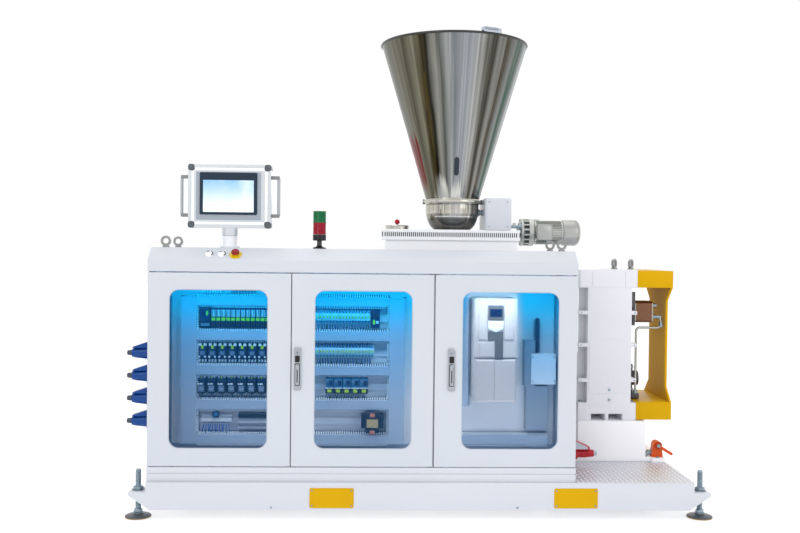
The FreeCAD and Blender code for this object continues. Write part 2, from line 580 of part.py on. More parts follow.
def operator_panel():
    swivel_y = "cabinet_front + swivel_inset"
    profile = [("0", "0"), ("column_foot_radius", "0"), ("column_foot_radius", "column_foot_height"),
               ("column_radius", "column_foot_height"), ("column_radius", "column_height"),
               ("spigot_radius", "column_height"), ("spigot_radius", "column_height + spigot_height"),
               ("0", "column_height + spigot_height")]
    node("panel_post", turned("column", profile, "swivel_x", swivel_y, "roof"))
    column_top = "roof + column_height"
    panel_bottom = f"{column_top} + head_height"
    front = f"{swivel_y} - head_radius"
    head = rod("head", "head_radius", "head_height - swivel_play", "swivel_x", swivel_y,
               f"{column_top} + swivel_play")
    socket = rod("head_socket", "spigot_radius + swivel_play", "spigot_height + swivel_play",
                 "swivel_x", swivel_y, column_top)
    panel_x = ("swivel_x + panel_left", "swivel_x + panel_right")
    plain = block("panel_plain", panel_x, (front, f"{front} + panel_depth"),
                  (panel_bottom, f"{panel_bottom} + panel_height"))
    panel = rounded("panel_round", plain, (0, 1, 0), "panel_corner")
    bezel_x = ("swivel_x + bezel_left", "swivel_x + bezel_right")
    bezel_z = (f"{panel_bottom} + bezel_rise", f"{panel_bottom} + bezel_rise + bezel_height")
    bezel_y = (f"{front} - bezel_proud", f"{front} - bezel_proud + bezel_depth")
    recess = block("recess", bezel_x, (front, bezel_y[1]), bezel_z)
    node("panel_frame", cut("panel_cut", joined("panel_solid", head, panel), socket, recess))
    node("panel_screen", block("screen", bezel_x, bezel_y, bezel_z))
    rail_y = f"{front} + panel_depth / 2"
    rail_bottom = f"{panel_bottom} + rail_rise"
    rail_top = f"{rail_bottom} + rail_length"
    rails = []
    for side, span in (("left", (f"{panel_x[0]} - rail_out", panel_x[0])),
                       ("right", (panel_x[1], f"{panel_x[1]} + rail_out"))):
        x = span[0] if side == "left" else span[1]
        bar = rod(f"rail_{side}", "rail_radius", "rail_length", x, rail_y, rail_bottom)
        arms = [block(f"arm_{side}_{end}", span, around(rail_y, "rail_radius"), z)
                for end, z in (("low", (rail_bottom, f"{rail_bottom} + 2 * rail_radius")),
                               ("high", (f"{rail_top} - 2 * rail_radius", rail_top)))]
        rails.append(joined(f"grab_{side}", bar, *arms))
    node("panel_handles", joined("grabs", *rails))


def signal_tower():
    profile = [("0", "0"), ("tower_radius", "0"), ("tower_radius", "tower_foot"),
               ("tower_neck_radius", "tower_foot + tower_flare"), ("tower_neck_radius", "tower_neck_height"),
               ("tower_radius", "tower_neck_height"), ("tower_radius", "tower_height"), ("0", "tower_height")]
    node("signal_tower", turned("tower", profile, "swivel_x + tower_offset",
                                "cabinet_front + tower_inset", "roof"))


# ---------------------------------------------------------------- hopper

def hopper():
    throat_z = "hood_top + throat_rise"
    ring_z = f"{throat_z} + cone_height - rim_bead"
    shell = turned("cone_sheet", [("throat_radius", "0"), ("rim_radius", "cone_height - rim_bead"),
                                  ("rim_radius - sheet_metal", "cone_height - rim_bead"),
                                  ("throat_radius - sheet_metal", "0")], "hopper_x", "line_y", throat_z)
    bead = doc.addObject("Part::Torus", "rim_roll")
    bead.setExpression("Radius1", formula("rim_radius"))
    bead.setExpression("Radius2", formula("rim_bead"))
    place(bead, "hopper_x", "line_y", ring_z)
    node("hopper_cone", joined("cone", shell, bead))

    clamp_foot = "throat_rise - clamp_height"
    angles = range(0, 91, 15)
    def curve(radius, foot):
        """The bowl's quarter-ellipse section from its waist down to its foot."""
        return [(f"{foot} + ({radius} - ({foot})) * cos({angle})", f"bowl_height * (1 - sin({angle}))")
                for angle in angles]
    outer = curve("throat_radius", "bowl_foot_radius")
    inner = curve("throat_radius - sheet_metal", "bowl_foot_radius - sheet_metal")
    profile = ([("clamp_radius", "throat_rise"), ("clamp_radius", clamp_foot), ("throat_radius", clamp_foot)]
               + outer + inner[::-1] + [("throat_radius - sheet_metal", "throat_rise")])
    bowl = turned("bowl", profile, "hopper_x", "line_y", "hood_top")
    wall_x = "hopper_x + throat_radius - sheet_metal"
    shaft_z = "hood_top + shaft_rise"
    shaft = rod("shaft", "shaft_radius", f"chest_left - ({wall_x})", wall_x, "line_y", shaft_z, "x")
    bearing = rod("bearing", "shaft_collar_radius", "shaft_collar_length", wall_x, "line_y", shaft_z, "x")
    node("hopper_bowl", joined("bowl_and_shaft", bowl, shaft, bearing))

    bow = "sensor_length * sensor_length / (8 * rim_radius)"
    body = block("sensor_body", around("0", "sensor_length / 2"), around("0", "sensor_width / 2"),
                 ("0", "sensor_height"))
    slot = block("sensor_slot", around("0", "sensor_length"), around("0", f"rim_bead + {bow} + rim_play"),
                 ("0", "rim_bead + rim_play"))
    sensor = place(cut("sensor", body, slot), "hopper_x + rim_radius * cos(sensor_angle)",
                   "line_y - rim_radius * sin(sensor_angle)", ring_z)
    sensor.setExpression("Placement.Rotation.Angle", formula("90 - sensor_angle"))
    node("rim_sensor", sensor)


# ---------------------------------------------------------------- feeder

def feeder():
    depth = around("line_y", "feeder_half_depth")
    node("feeder_box", block("feeder_body", ("feeder_left", "feeder_right"), depth,
                             ("jacket_top", "feeder_top")))
    half_depth = "feeder_half_depth + hood_overhang_y"
    hood_y = around("line_y", half_depth)
    outer = block("hood_outer", ("hood_left", "hood_right"), hood_y, ("feeder_top", "hood_top"))
    inner = block("hood_inner", ("hood_left + hood_wall", "hood_right - hood_wall"),
                  around("line_y", f"{half_depth} - hood_wall"),
                  ("feeder_top + hood_wall", "hood_top - hood_wall"))
    vent_z = ("feeder_top + vent_rise", "feeder_top + vent_rise + vent_height")
    vents = []
    for index in range(int(number("(hood_right - hood_left - 2 * vent_inset) / vent_pitch")) + 1):
        left = f"hood_left + vent_inset + {index} * vent_pitch"
        vents.append(block(f"vent_{index}", (left, f"{left} + vent_width"), hood_y, vent_z))
    node("feeder_hood", cut("hood", outer, inner, *vents))
    lid = turned("lid", [("0", "0"), ("lid_radius", "0"), ("lid_radius", "lid_height"),
                         ("ball_stem_radius", "lid_height"), ("ball_stem_radius", "ball_rise"),
                         ("0", "ball_rise")], "lid_x", "line_y", "hood_top")
    ball = doc.addObject("Part::Sphere", "ball")
    ball.setExpression("Radius", formula("ball_radius"))
    place(ball, "lid_x", "line_y", "hood_top + ball_rise")
    node("access_lid", joined("lid_and_ball", lid, ball))
    chest = block("chest", ("chest_left", "chest_right"), around("line_y", "chest_half_depth"),
                  ("hood_top", "hood_top + chest_height"))
    sides = rounded("chest_sides", chest, (0, 0, 1), "chest_corner")
    low = number("hood_top")
    node("drive_box", rounded("chest_round", sides, (0, 1, 0), "chest_edge", lambda centre: centre.z > low + 1))


def feeder_motor():
    neck = "motor_neck_length"
    reducer = f"{neck} + reducer_length"
    body = f"{reducer} + motor_body_length"
    cowl = f"{body} + cowl_length"
    axis_z = "hood_top - motor_drop"
    profile = [("0", "0"), ("motor_neck_radius", "0"), ("motor_neck_radius", neck), ("reducer_radius", neck),
               ("reducer_radius", reducer), ("motor_body_radius", reducer), ("motor_body_radius", body),
               ("cowl_radius", body), ("cowl_radius", f"{cowl} - cowl_dome"), ("cowl_radius - cowl_dome", cowl),
               ("0", cowl)]
    motor = turned("motor_turned", profile, "hood_right", "line_y", axis_z, "x")
    front = "line_y - motor_body_radius - motor_box_depth / 2"
    box = block("motor_box_block", around("hood_right + motor_box_out", "motor_box / 2"),
                (front, f"{front} + motor_box_depth"), around(axis_z, "motor_box / 2"))
    node("feeder_motor", joined("motor", motor, box))


# ---------------------------------------------------------------- gearbox and its pedestal

def gearbox():
    gear_y = around("line_y", "gear_half_depth")
    wide = ("gear_left", "gear_right")
    parts = [block("gear_body", ("gear_body_left", "gear_body_right"), gear_y, ("gear_bottom", "gear_top")),
             block("gear_head_block", wide, gear_y, ("gear_top - gear_head", "gear_top")),
             block("gear_sole_block", wide, gear_y, ("gear_bottom", "gear_bottom + gear_sole"))]
    parts += [block(f"rib_{name}", wide, gear_y, around(f"gear_bottom + rib_{name}_rise", "rib_height / 2"))
              for name in ("low", "middle", "high")]
    bosses = [rod(f"{name}_boss", radius, "gear_body_left - gear_left", "gear_left", "line_y", z, "x")
              for name, radius, z in (("barrel", "barrel_radius + boss_margin", "barrel_z"),
                                      ("motor", "main_motor_flange_radius", "main_motor_z"))]
    front = "line_y - gear_half_depth"
    pockets = [block(f"pocket_{side}", around(f"gear_left + pocket_{side}_inset", "pocket_width / 2"),
                     (front, f"{front} + pocket_depth"), ("gear_bottom", "gear_bottom + pocket_height"))
               for side in ("left", "right")]
    node("gearbox", cut("gear_cut", joined("gear_solid", *parts, *bosses), *pockets))


def pedestal():
    depth = around("line_y", "pedestal_half_depth")
    front = "line_y - pedestal_half_depth"
    column = block("pedestal_column", ("gear_left - pedestal_before", "pedestal_right"), depth,
                   ("ledge_top", "gear_bottom"))
    ledge = block("ledge", ("gear_left - ledge_before", "base_right"), depth, ("deck_top", "ledge_top"))
    step = block("step", around("valve_x", "block_width / 2"), (f"{front} - block_front", front),
                 ("deck_top", "ledge_top"))
    node("gearbox_pedestal", joined("pedestal_solid", column, ledge, step))


def rear_guard():
    gear_y = around("line_y", "gear_half_depth")
    end = "gear_right + guard_length"
    top = ("gear_top - guard_top_gap - guard_top_height", "gear_top - guard_top_gap")
    foot = ("gear_bottom + guard_foot_gap", "gear_bottom + guard_foot_gap + guard_foot_height")
    waist = "gear_half_depth - guard_waist"
    half = [("gear_half_depth", foot[0]), ("gear_half_depth", foot[1]), (waist, f"{foot[1]} + guard_taper"),
            (waist, f"{top[0]} - guard_taper"), ("gear_half_depth", top[0]), ("gear_half_depth", top[1])]
    points = ([(f"line_y - ({u})", v) for u, v in half] + [(f"line_y + ({u})", v) for u, v in reversed(half)])
    plate = extruded("guard_plate_body", "YZ_Plane", points, f"{end} - guard_plate", end)
    node("rear_guard", joined("guard", plate, block("guard_top", ("gear_right", end), gear_y, top),
                              block("guard_foot", ("gear_right", end), gear_y, foot)))


# ---------------------------------------------------------------- oil cooler, pump, pipe and valve

def oil_circuit():
    cooler_y = ("cooler_front_y", "cooler_front_y + cooler_depth")
    node("oil_cooler", block("core", ("cooler_left", "cooler_right"), cooler_y,
                             ("cooler_bottom", "cooler_top")))
    plate = block("cooler_plate", ("cooler_left - cooler_plate_thickness", "cooler_left"), cooler_y,
                  ("cooler_bottom - cooler_plate_below", "cooler_top + cooler_plate_above"))
    bracket_z = ("gear_top - cooler_bracket_drop - cooler_bracket_height", "gear_top - cooler_bracket_drop")
    bracket = block("bracket", ("gear_body_right", "cooler_left"), cooler_y, bracket_z)
    node("cooler_bracket", joined("cooler_carrier", plate, bracket))

    pump_y = ("pump_front_y", "pump_front_y + pump_depth")
    right = "gear_right + pump_out"
    case = block("pump_case", ("gear_body_right", right), pump_y, ("pump_bottom", "pump_bottom + pump_height"))
    notch = block("pump_notch", ("gear_body_right", "gear_right + pump_play"), pump_y,
                  around("gear_bottom + rib_low_rise", "rib_height / 2 + pump_play"))
    dome = rod("pump_dome", "pump_dome_radius", "pump_dome_length", right, "pump_front_y + pump_depth / 2",
               "pump_bottom + pump_dome_rise", "x")
    foot = block("pump_foot", ("gear_right", "gear_right + pump_foot_out"), ("cooler_front_y", pump_y[1]),
                 ("pump_bottom", "pump_bottom + pump_foot_height"))
    node("oil_pump", joined("pump", cut("pump_case_cut", case, notch), dome, foot))
    node("oil_pipe", pipe())


def pipe():
    """A bent steel tube from the cooler's port to the pump's foot, straight runs joined by arcs."""
    y = number("line_y - pipe_before")
    port_z, low_z = "cooler_bottom + pipe_port_rise", "cooler_bottom - pipe_drop"
    out_x, down_x = "cooler_right + pipe_out", "gear_right + pipe_down_out"
    stations = [("cooler_right", port_z), (out_x, port_z), (out_x, low_z), (down_x, low_z),
                (down_x, "pump_bottom + pump_foot_height")]
    points = [FreeCAD.Vector(number(x), y, number(z)) for x, z in stations]
    radius = number("pipe_bend")
    edges, start = [], points[0]
    for before, corner, after in zip(points, points[1:], points[2:]):
        back = (before - corner).normalize()
        on = (after - corner).normalize()
        entry, leave = corner + back * radius, corner + on * radius
        middle = corner + (back + on) * radius * (1 - 0.5 ** 0.5)
        edges += [Part.LineSegment(start, entry).toShape(), Part.Arc(entry, middle, leave).toShape()]
        start = leave
    edges.append(Part.LineSegment(start, points[-1]).toShape())
    section = Part.Wire(Part.makeCircle(number("pipe_radius"), points[0], FreeCAD.Vector(1, 0, 0)))
    tube = doc.addObject("Part::Feature", "tube")
    tube.Shape = Part.Wire(edges).makePipeShell([section], True, False)
    return tube


def valve():
    pivot = "ledge_top + valve_pivot_rise"
    front = "valve_y - valve_half_depth"
    body = extruded("valve_skirt", "XZ_Plane",
                    [("valve_x - valve_foot_radius", "ledge_top"), ("valve_x + valve_foot_radius", "ledge_top"),
                     ("valve_x + valve_neck_radius", pivot), ("valve_x - valve_neck_radius", pivot)],
                    front, "valve_y + valve_half_depth")
    crown = rod("valve_crown", "valve_neck_radius", "2 * valve_half_depth", "valve_x", front, pivot, "y")
    reach = "lever_gap + lever_thickness"
    pin = rod("lever_pin", "lever_pin_radius", reach, "valve_x", f"{front} - ({reach})", pivot, "y")
    node("valve_body", joined("valve", body, crown, pin))

    hub = rod("lever_hub", "lever_hub_radius", "lever_thickness", "0", "-lever_thickness", "0", "y")
    bar = block("lever_bar", ("0", "lever_length"), ("-lever_thickness", "0"),
                around("0", "lever_tip_radius"))
    tip = rod("lever_tip", "lever_tip_radius", "lever_thickness", "lever_length", "-lever_thickness", "0", "y")
    eye_hole = rod("lever_hole", "lever_pin_radius + pin_play", "lever_thickness", "0", "-lever_thickness",
                   "0", "y")
    lever = cut("lever", joined("lever_solid", hub, bar, tip), eye_hole)
    place(lever, "valve_x", f"{front} - lever_gap", pivot)
    lever.Placement = FreeCAD.Placement(FreeCAD.Vector(), FreeCAD.Rotation(FreeCAD.Vector(0, 1, 0), 1))
    lever.setExpression("Placement.Rotation.Angle", formula("lever_drop"))
    node("valve_lever", lever)


# ---------------------------------------------------------------- barrel, its guard and the main motor

def barrel():
    inner = "die_flange_depth"
    length = "gear_left - barrel_left"
    profile = [("0", "0"), ("die_flange_radius", "0"), ("die_flange_radius", inner), ("barrel_radius", inner),
               ("barrel_radius", length), ("0", length)]
    body = turned("barrel_body", profile, "barrel_left", "line_y", "barrel_z", "x")
    socket = rod("die_socket", "die_spigot_radius", "die_spigot_depth", "barrel_left", "line_y", "barrel_z", "x")
    holes = []
    for index in range(8):
        angle = 22.5 + 45 * index
        holes.append(rod(f"die_hole_{index}", "die_bolt_radius", "die_bolt_depth", "barrel_left",
                         f"line_y + die_bolt_circle / 2 * cos({angle})",
                         f"barrel_z + die_bolt_circle / 2 * sin({angle})", "x"))
    node("barrel", cut("barrel_cut", body, socket, *holes))

    jacket_y = around("line_y", "jacket_half_depth")
    outer = block("jacket_outer", ("jacket_left", "gear_left"), jacket_y, ("jacket_bottom", "jacket_top"))
    inner = block("jacket_inner", ("jacket_left + jacket_end", "gear_left - jacket_end"),
                  around("line_y", "jacket_half_depth - jacket_wall"),
                  ("jacket_bottom + jacket_wall", "jacket_top - jacket_wall"))
    hole = rod("jacket_hole", "barrel_radius + jacket_hole_play", "gear_left - jacket_left", "jacket_left",
               "line_y", "barrel_z", "x")
    node("barrel_guard", cut("jacket", outer, inner, hole))
    stands = [block(f"stand_{index}", around(x, "cross_width / 2"), around("line_y", "stand_half_depth"),
                    ("beam_top", "jacket_bottom")) for index, x in enumerate((CROSSES[0], CROSSES[2]))]
    node("barrel_stands", joined("stands", *stands))


def main_motor():
    length = "gear_left - main_motor_left"
    flange = f"{length} - main_motor_flange"
    profile = [("0", "0"), ("main_motor_radius", "0"), ("main_motor_radius", flange),
               ("main_motor_flange_radius", flange), ("main_motor_flange_radius", length), ("0", length)]
    body = turned("main_motor_body", profile, "main_motor_left", "line_y", "main_motor_z", "x")
    foot_left = "main_motor_left + main_motor_foot_inset"
    foot = block("main_motor_foot", (foot_left, f"{foot_left} + main_motor_foot_width"),
                 around("line_y", "main_motor_foot_half_depth"),
                 ("beam_top", "main_motor_z - main_motor_radius / 2"))
    box = block("main_motor_box", around("(main_motor_left + gear_left) / 2", "main_motor_radius / 2"),
                ("line_y", "line_y + main_motor_radius + main_motor_box_depth"),
                around("main_motor_z", "main_motor_radius / 2"))
    node("main_motor", joined("main_motor_solid", body, foot, box))


# ---------------------------------------------------------------- build and write

levelling_feet()
beam("base_beam_front", "base_front", "base_front + beam_width", "-(foot_y)")
beam("base_beam_rear", "base_back - beam_width", "base_back", "foot_y")
crossmembers()
pocket_covers()
deck()
carcass()
hinge_pins()
doors()
equipment()
plugs()
lifting_eyes()
control_buttons()
operator_panel()
signal_tower()
hopper()
feeder()
feeder_motor()
gearbox()
pedestal()
rear_guard()
oil_circuit()
valve()
barrel()
main_motor()
doc.recompute()

for item in doc.Objects:
    if "Invalid" in item.State or "Error" in item.State:
        raise RuntimeError(f"{item.Label} could not be built: {item.State}")
for piece in nodes:
    if piece.Shape.isNull() or not piece.Shape.isValid():
        raise RuntimeError(f"{piece.Label} has no sound shape")

os.makedirs("parts", exist_ok=True)
for piece in nodes:
    piece.Shape.exportStep(f"parts/{piece.Label}.step")
    print(f"{piece.Label}: {len(piece.Shape.Solids)} solids, {piece.Shape.Volume / 1e9:.4f} m3")
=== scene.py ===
"""Looks of a twin-screw plastic extruder on its skid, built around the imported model.

Sizes inside this file are in millimetres in the row's frame and become metres when a mesh is made.
"""

import json
import math
from itertools import product

import bmesh
import bpy
from mathutils import Matrix, Vector


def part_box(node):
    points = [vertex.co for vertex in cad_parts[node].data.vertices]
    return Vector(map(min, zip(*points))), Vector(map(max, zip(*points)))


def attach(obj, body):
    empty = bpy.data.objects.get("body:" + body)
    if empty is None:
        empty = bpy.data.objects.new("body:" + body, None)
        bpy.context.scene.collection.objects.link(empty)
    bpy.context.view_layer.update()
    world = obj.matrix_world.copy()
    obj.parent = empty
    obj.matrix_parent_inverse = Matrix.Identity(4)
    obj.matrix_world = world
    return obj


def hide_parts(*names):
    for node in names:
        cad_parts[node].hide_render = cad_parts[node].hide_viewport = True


bl_info = {
    "name": "Plastic extruder looks",
    "version": (1, 0, 0),
    "blender": (4, 5, 0),
    "location": "View3D > Sidebar > Extruder",
    "description": "Builds the finishes and the fine pieces of a plastic extruder around its frame",
    "category": "Object",
}

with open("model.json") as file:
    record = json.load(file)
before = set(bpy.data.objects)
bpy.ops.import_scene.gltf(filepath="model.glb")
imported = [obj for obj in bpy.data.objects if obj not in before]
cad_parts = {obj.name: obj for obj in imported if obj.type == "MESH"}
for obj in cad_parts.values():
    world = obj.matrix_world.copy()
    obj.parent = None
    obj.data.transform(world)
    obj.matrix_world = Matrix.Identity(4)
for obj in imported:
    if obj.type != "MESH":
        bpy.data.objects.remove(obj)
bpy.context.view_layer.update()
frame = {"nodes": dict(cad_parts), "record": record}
NODES = frame["nodes"]
BODY_OF = {node: body for body, members in frame["record"]["behaviour"]["bodies"].items() for node in members}
MM = 0.001
LEFT, RIGHT, FRONT, REAR, DOWN, UP = (-1, 0, 0), (1, 0, 0), (0, -1, 0), (0, 1, 0), (0, 0, -1), (0, 0, 1)


def extent(node):
    """The lowest and highest x, y and z of a CAD node, in millimetres."""
    low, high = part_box(node)
    return [value / MM for pair in zip(low, high) for value in pair]


def centre(node):
    """The middle of a CAD node's box, in millimetres."""
    x0, x1, y0, y1, z0, z1 = extent(node)
    return (x0 + x1) / 2, (y0 + y1) / 2, (z0 + z1) / 2


# ---------------------------------------------------------------- shapes

def chamfered(low, high, edge):
    """Points and faces of a box whose edges are cut at 45 degrees."""
    edge = min(edge, *((b - a) * 0.45 for a, b in zip(low, high)))
    corners = list(product((0, 1), repeat=3))
    points, index, faces = [], {}, []
    for corner, kept in product(corners, range(3)):
        inset = [0 if axis == kept else edge for axis in range(3)]
        index[corner, kept] = len(points)
        points.append([high[i] - inset[i] if side else low[i] + inset[i] for i, side in enumerate(corner)])

    def corner_at(kept, along, a, b):
        """The corner at one end of an axis and at two ends of the axes after it."""
        return tuple((along, a, b)[(axis - kept) % 3] for axis in range(3))

    around = ((0, 0), (1, 0), (1, 1), (0, 1))
    for kept in range(3):
        one, two = (kept + 1) % 3, (kept + 2) % 3
        for side in (0, 1):
            faces.append([index[corner_at(kept, side, a, b), kept] for a, b in around])
        for a, b in product((0, 1), repeat=2):
            near, far = corner_at(kept, 0, a, b), corner_at(kept, 1, a, b)
            faces.append([index[near, one], index[far, one], index[far, two], index[near, two]])
    return points, faces + [[index[corner, kept] for kept in range(3)] for corner in corners]


class Shape:
    """The points and faces of one piece, gathered part by part, in millimetres."""

    def __init__(self):
        self.points, self.faces = [], []

    def add(self, points, faces, turn=None):
        start = len(self.points)
        self.points += [turn @ Vector(point) if turn else Vector(point) for point in points]
        self.faces += [[start + corner for corner in face] for face in faces]
        return self

    def box(self, x, y, z, edge=1.0, turn=None):
        """A box between two values on each axis, with small chamfers."""
        low, high = [min(pair) for pair in (x, y, z)], [max(pair) for pair in (x, y, z)]
        return self.add(*chamfered(low, high, edge), turn)

    def boxed(self, middle, size, edge=1.0, turn=None):
        """A chamfered box round a middle point."""
        spans = [(m - s / 2, m + s / 2) for m, s in zip(middle, size)]
        return self.box(*spans, edge, turn)

    def turned(self, profile, at, axis=UP, steps=32, turn=None):
        """A closed profile of (radius, height) pairs turned about an axis through a point."""
        lay = Vector((0, 0, 1)).rotation_difference(Vector(axis)).to_matrix().to_4x4()
        place = Matrix.Translation(Vector(at)) @ lay
        points, faces, rings = [], [], []
        for radius, height in profile:
            if radius < 1e-6:
                rings.append([len(points)] * steps)
                points.append((0, 0, height))
            else:
                rings.append(list(range(len(points), len(points) + steps)))
                points += [(radius * math.cos(2 * math.pi * i / steps),
                            radius * math.sin(2 * math.pi * i / steps), height) for i in range(steps)]
        for lower, upper in zip(rings, rings[1:]):
            for i in range(steps):
                j = (i + 1) % steps
                ring = list(dict.fromkeys((lower[i], lower[j], upper[j], upper[i])))
                if len(ring) > 2:
                    faces.append(ring)
        return self.add(points, faces, turn @ place if turn else place)

    def tube(self, path, radius, steps=12, closed=False):
        """A round tube that follows a line of points."""
        path = [Vector(point) for point in path]
        count, points, faces, side = len(path), [], [], None
        for i, point in enumerate(path):
            before = path[i - 1] if i or closed else point
            after = path[(i + 1) % count] if i < count - 1 or closed else point
            way = (after - before).normalized()
            if side is None:
                side = way.orthogonal().normalized()
            side = (side - way * side.dot(way)).normalized()
            other = way.cross(side)
            points += [point + radius * (side * math.cos(2 * math.pi * k / steps)
                                         + other * math.sin(2 * math.pi * k / steps)) for k in range(steps)]
        for i in range(count if closed else count - 1):
            j = (i + 1) % count
            for k in range(steps):
                m = (k + 1) % steps
                faces.append([i * steps + k, i * steps + m, j * steps + m, j * steps + k])
        if not closed:
            faces += [list(range(steps)), list(range((count - 1) * steps, count * steps))]
        return self.add(points, faces)

    def slab(self, outline, thickness, place, edge=0.8):
        """A flat outline with chamfered rims. Its face looks along the place's local Z."""
        count = len(outline)
        middle = sum((Vector(point) for point in outline), Vector((0, 0))) / count
        inset = []
        for point in outline:
            away = Vector(point) - middle
            inset.append(middle + away * max(0.0, 1 - edge / max(away.length, 1e-6)))
        cut = min(edge, thickness / 3)
        layers = ((inset, 0), (outline, cut), (outline, thickness - cut), (inset, thickness))
        points = [(p[0], p[1], height) for ring, height in layers for p in ring]
        faces = [list(range(count)), list(range(3 * count, 4 * count))]
        for layer in range(3):
            for i in range(count):
                j = (i + 1) % count
                faces.append([layer * count + i, layer * count + j, (layer + 1) * count + j,
                              (layer + 1) * count + i])
        return self.add(points, faces, place)

    def plate(self, width, height, corner, thickness, at, way=FRONT, edge=0.8, steps=6):
        """A slab with round corners whose back is at a point and whose face looks along a direction."""
        return self.slab(rounded_outline(width, height, corner, steps), thickness, facing(at, way), edge)

    def ring(self, outer, inner, thickness, place):
        """A flat frame between two outlines with the same number of points."""
        count = len(outer)
        points = [(p[0], p[1], h) for h in (0, thickness) for ring in (outer, inner) for p in ring]
        faces = []
        for i in range(count):
            j = (i + 1) % count
            for one, two in ((0, 1), (2, 3), (0, 2), (1, 3)):
                one, two = one * count, two * count
                faces.append([one + i, one + j, two + j, two + i])
        return self.add(points, faces, place)

    def fins(self, middle, count, run, half, low, high, edge, first=0.0):
        """Like bars that stand out evenly round an axis along X."""
        for i in range(count):
            turn = Matrix.Translation(middle) @ Matrix.Rotation(math.radians(first + 360 * i / count), 4, "X")
            self.box(run, (-half, half), (low, high), edge, turn)
        return self

    def bolt(self, at, way, size=8.0, washer=True):
        """A hexagon head on its washer, with the top edge turned off."""
        flat = size * 0.9
        if washer:
            self.turned([(0, 0), (size * 1.25, 0), (size * 1.25, size * 0.15), (0, size * 0.15)], at, way, 20)
        self.turned([(0, size * 0.15), (flat, size * 0.15), (flat, size * 0.7), (flat * 0.88, size * 0.8),
                     (0, size * 0.8)], at, way, 6)
        return self

    def cap_screw(self, at, way, size=6.0):
        """A round socket head with its hollow."""
        return self.turned([(0, 0), (size, 0), (size, size * 0.55), (size * 0.88, size * 0.7),
                            (size * 0.5, size * 0.7), (size * 0.42, size * 0.3), (0, size * 0.3)], at, way,
                           20)

    def cap_screws(self, xs, ys, zs, way, size=6.0):
        """A socket screw at each meeting of the given x, y and z."""
        for at in product(xs, ys, zs):
            self.cap_screw(at, way, size)
        return self

    def bolt_circle(self, middle, way, radius, count, size, first=0.0):
        """Bolts spaced evenly round a point, along X or Z."""
        for i in range(count):
            angle = math.radians(first + 360 * i / count)
            across, along = radius * math.cos(angle), radius * math.sin(angle)
            spread = (across, along, 0) if way in (UP, DOWN) else (0, across, along)
            self.bolt(Vector(middle) + Vector(spread), way, size)
        return self


def rounded_outline(width, height, radius, steps=6):
    """A rectangle with round corners, about the origin."""
    points = []
    for cx, cy, start in ((1, 1, 0), (-1, 1, 90), (-1, -1, 180), (1, -1, 270)):
        for i in range(steps + 1):
            angle = math.radians(start + 90 * i / steps)
            points.append((cx * (width / 2 - radius) + radius * math.cos(angle),
                           cy * (height / 2 - radius) + radius * math.sin(angle)))
    return points


def facing(at, way=FRONT):
    """A place at a point whose local Z looks along a direction and whose local Y stays upright."""
    out = Vector(way).normalized()
    up = Vector((0, 0, 1)) if abs(out.z) < 0.9 else Vector((0, 1, 0))
    across = up.cross(out).normalized()
    up = out.cross(across)
    return Matrix.Translation(Vector(at)) @ Matrix((across, up, out)).transposed().to_4x4()


def arc_path(points, radius, steps=6):
    """A line of points with each corner rounded."""
    points = [Vector(point) for point in points]
    path = [points[0]]
    for before, corner, after in zip(points, points[1:], points[2:]):
        entry = corner + (before - corner).normalized() * radius
        leave = corner + (after - corner).normalized() * radius
        for i in range(steps + 1):
            t = i / steps
            path.append(entry * (1 - t) ** 2 + corner * 2 * t * (1 - t) + leave * t ** 2)
    return path + [points[-1]]


def keep_sharp(mesh, limit=35):
    """Shade a mesh smooth except over its real edges, with its faces turned outwards."""
    work = bmesh.new()
    work.from_mesh(mesh)
    bmesh.ops.recalc_face_normals(work, faces=work.faces)
    for edge in work.edges:
        edge.smooth = len(edge.link_faces) == 2 and edge.calc_face_angle(0) < math.radians(limit)
    for face in work.faces:
        face.smooth = True
    work.to_mesh(mesh)
    work.free()


def make(name, shape, finish, body="machine", stands_for=(), limit=35):
    """Turn a shape into a piece with a finish that rides on a body."""
    mesh = bpy.data.meshes.new(name)
    mesh.from_pydata([point * MM for point in shape.points], [], shape.faces)
    keep_sharp(mesh, limit)
    mesh.materials.append(FINISHES[finish].material)
    piece = bpy.data.objects.new(name, mesh)
    bpy.context.scene.collection.objects.link(piece)
    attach(piece, body)
    if stands_for:
        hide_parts(*stands_for)
    return piece


def softened(node, finish, width):
    """A copy of a CAD node with its edges broken, which stands for it."""
    mesh = NODES[node].data.copy()
    mesh.name = "soft_" + node
    work = bmesh.new()
    work.from_mesh(mesh)
    bmesh.ops.remove_doubles(work, verts=work.verts, dist=1e-5)
    bmesh.ops.dissolve_limit(work, angle_limit=math.radians(1), verts=work.verts, edges=work.edges)
    sharp = [edge for edge in work.edges if len(edge.link_faces) == 2
             and edge.calc_face_angle(0) > math.radians(30)]
    bmesh.ops.bevel(work, geom=sharp, offset=width * MM, segments=2, profile=0.6, affect="EDGES",
                    clamp_overlap=True)
    work.to_mesh(mesh)
    work.free()
    keep_sharp(mesh, 50)
    mesh.materials.clear()
    mesh.materials.append(FINISHES[finish].material)
    piece = bpy.data.objects.new(node + "_finished", mesh)
    bpy.context.scene.collection.objects.link(piece)
    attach(piece, BODY_OF[node])
    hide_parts(node)
    return piece


# ---------------------------------------------------------------- finishes

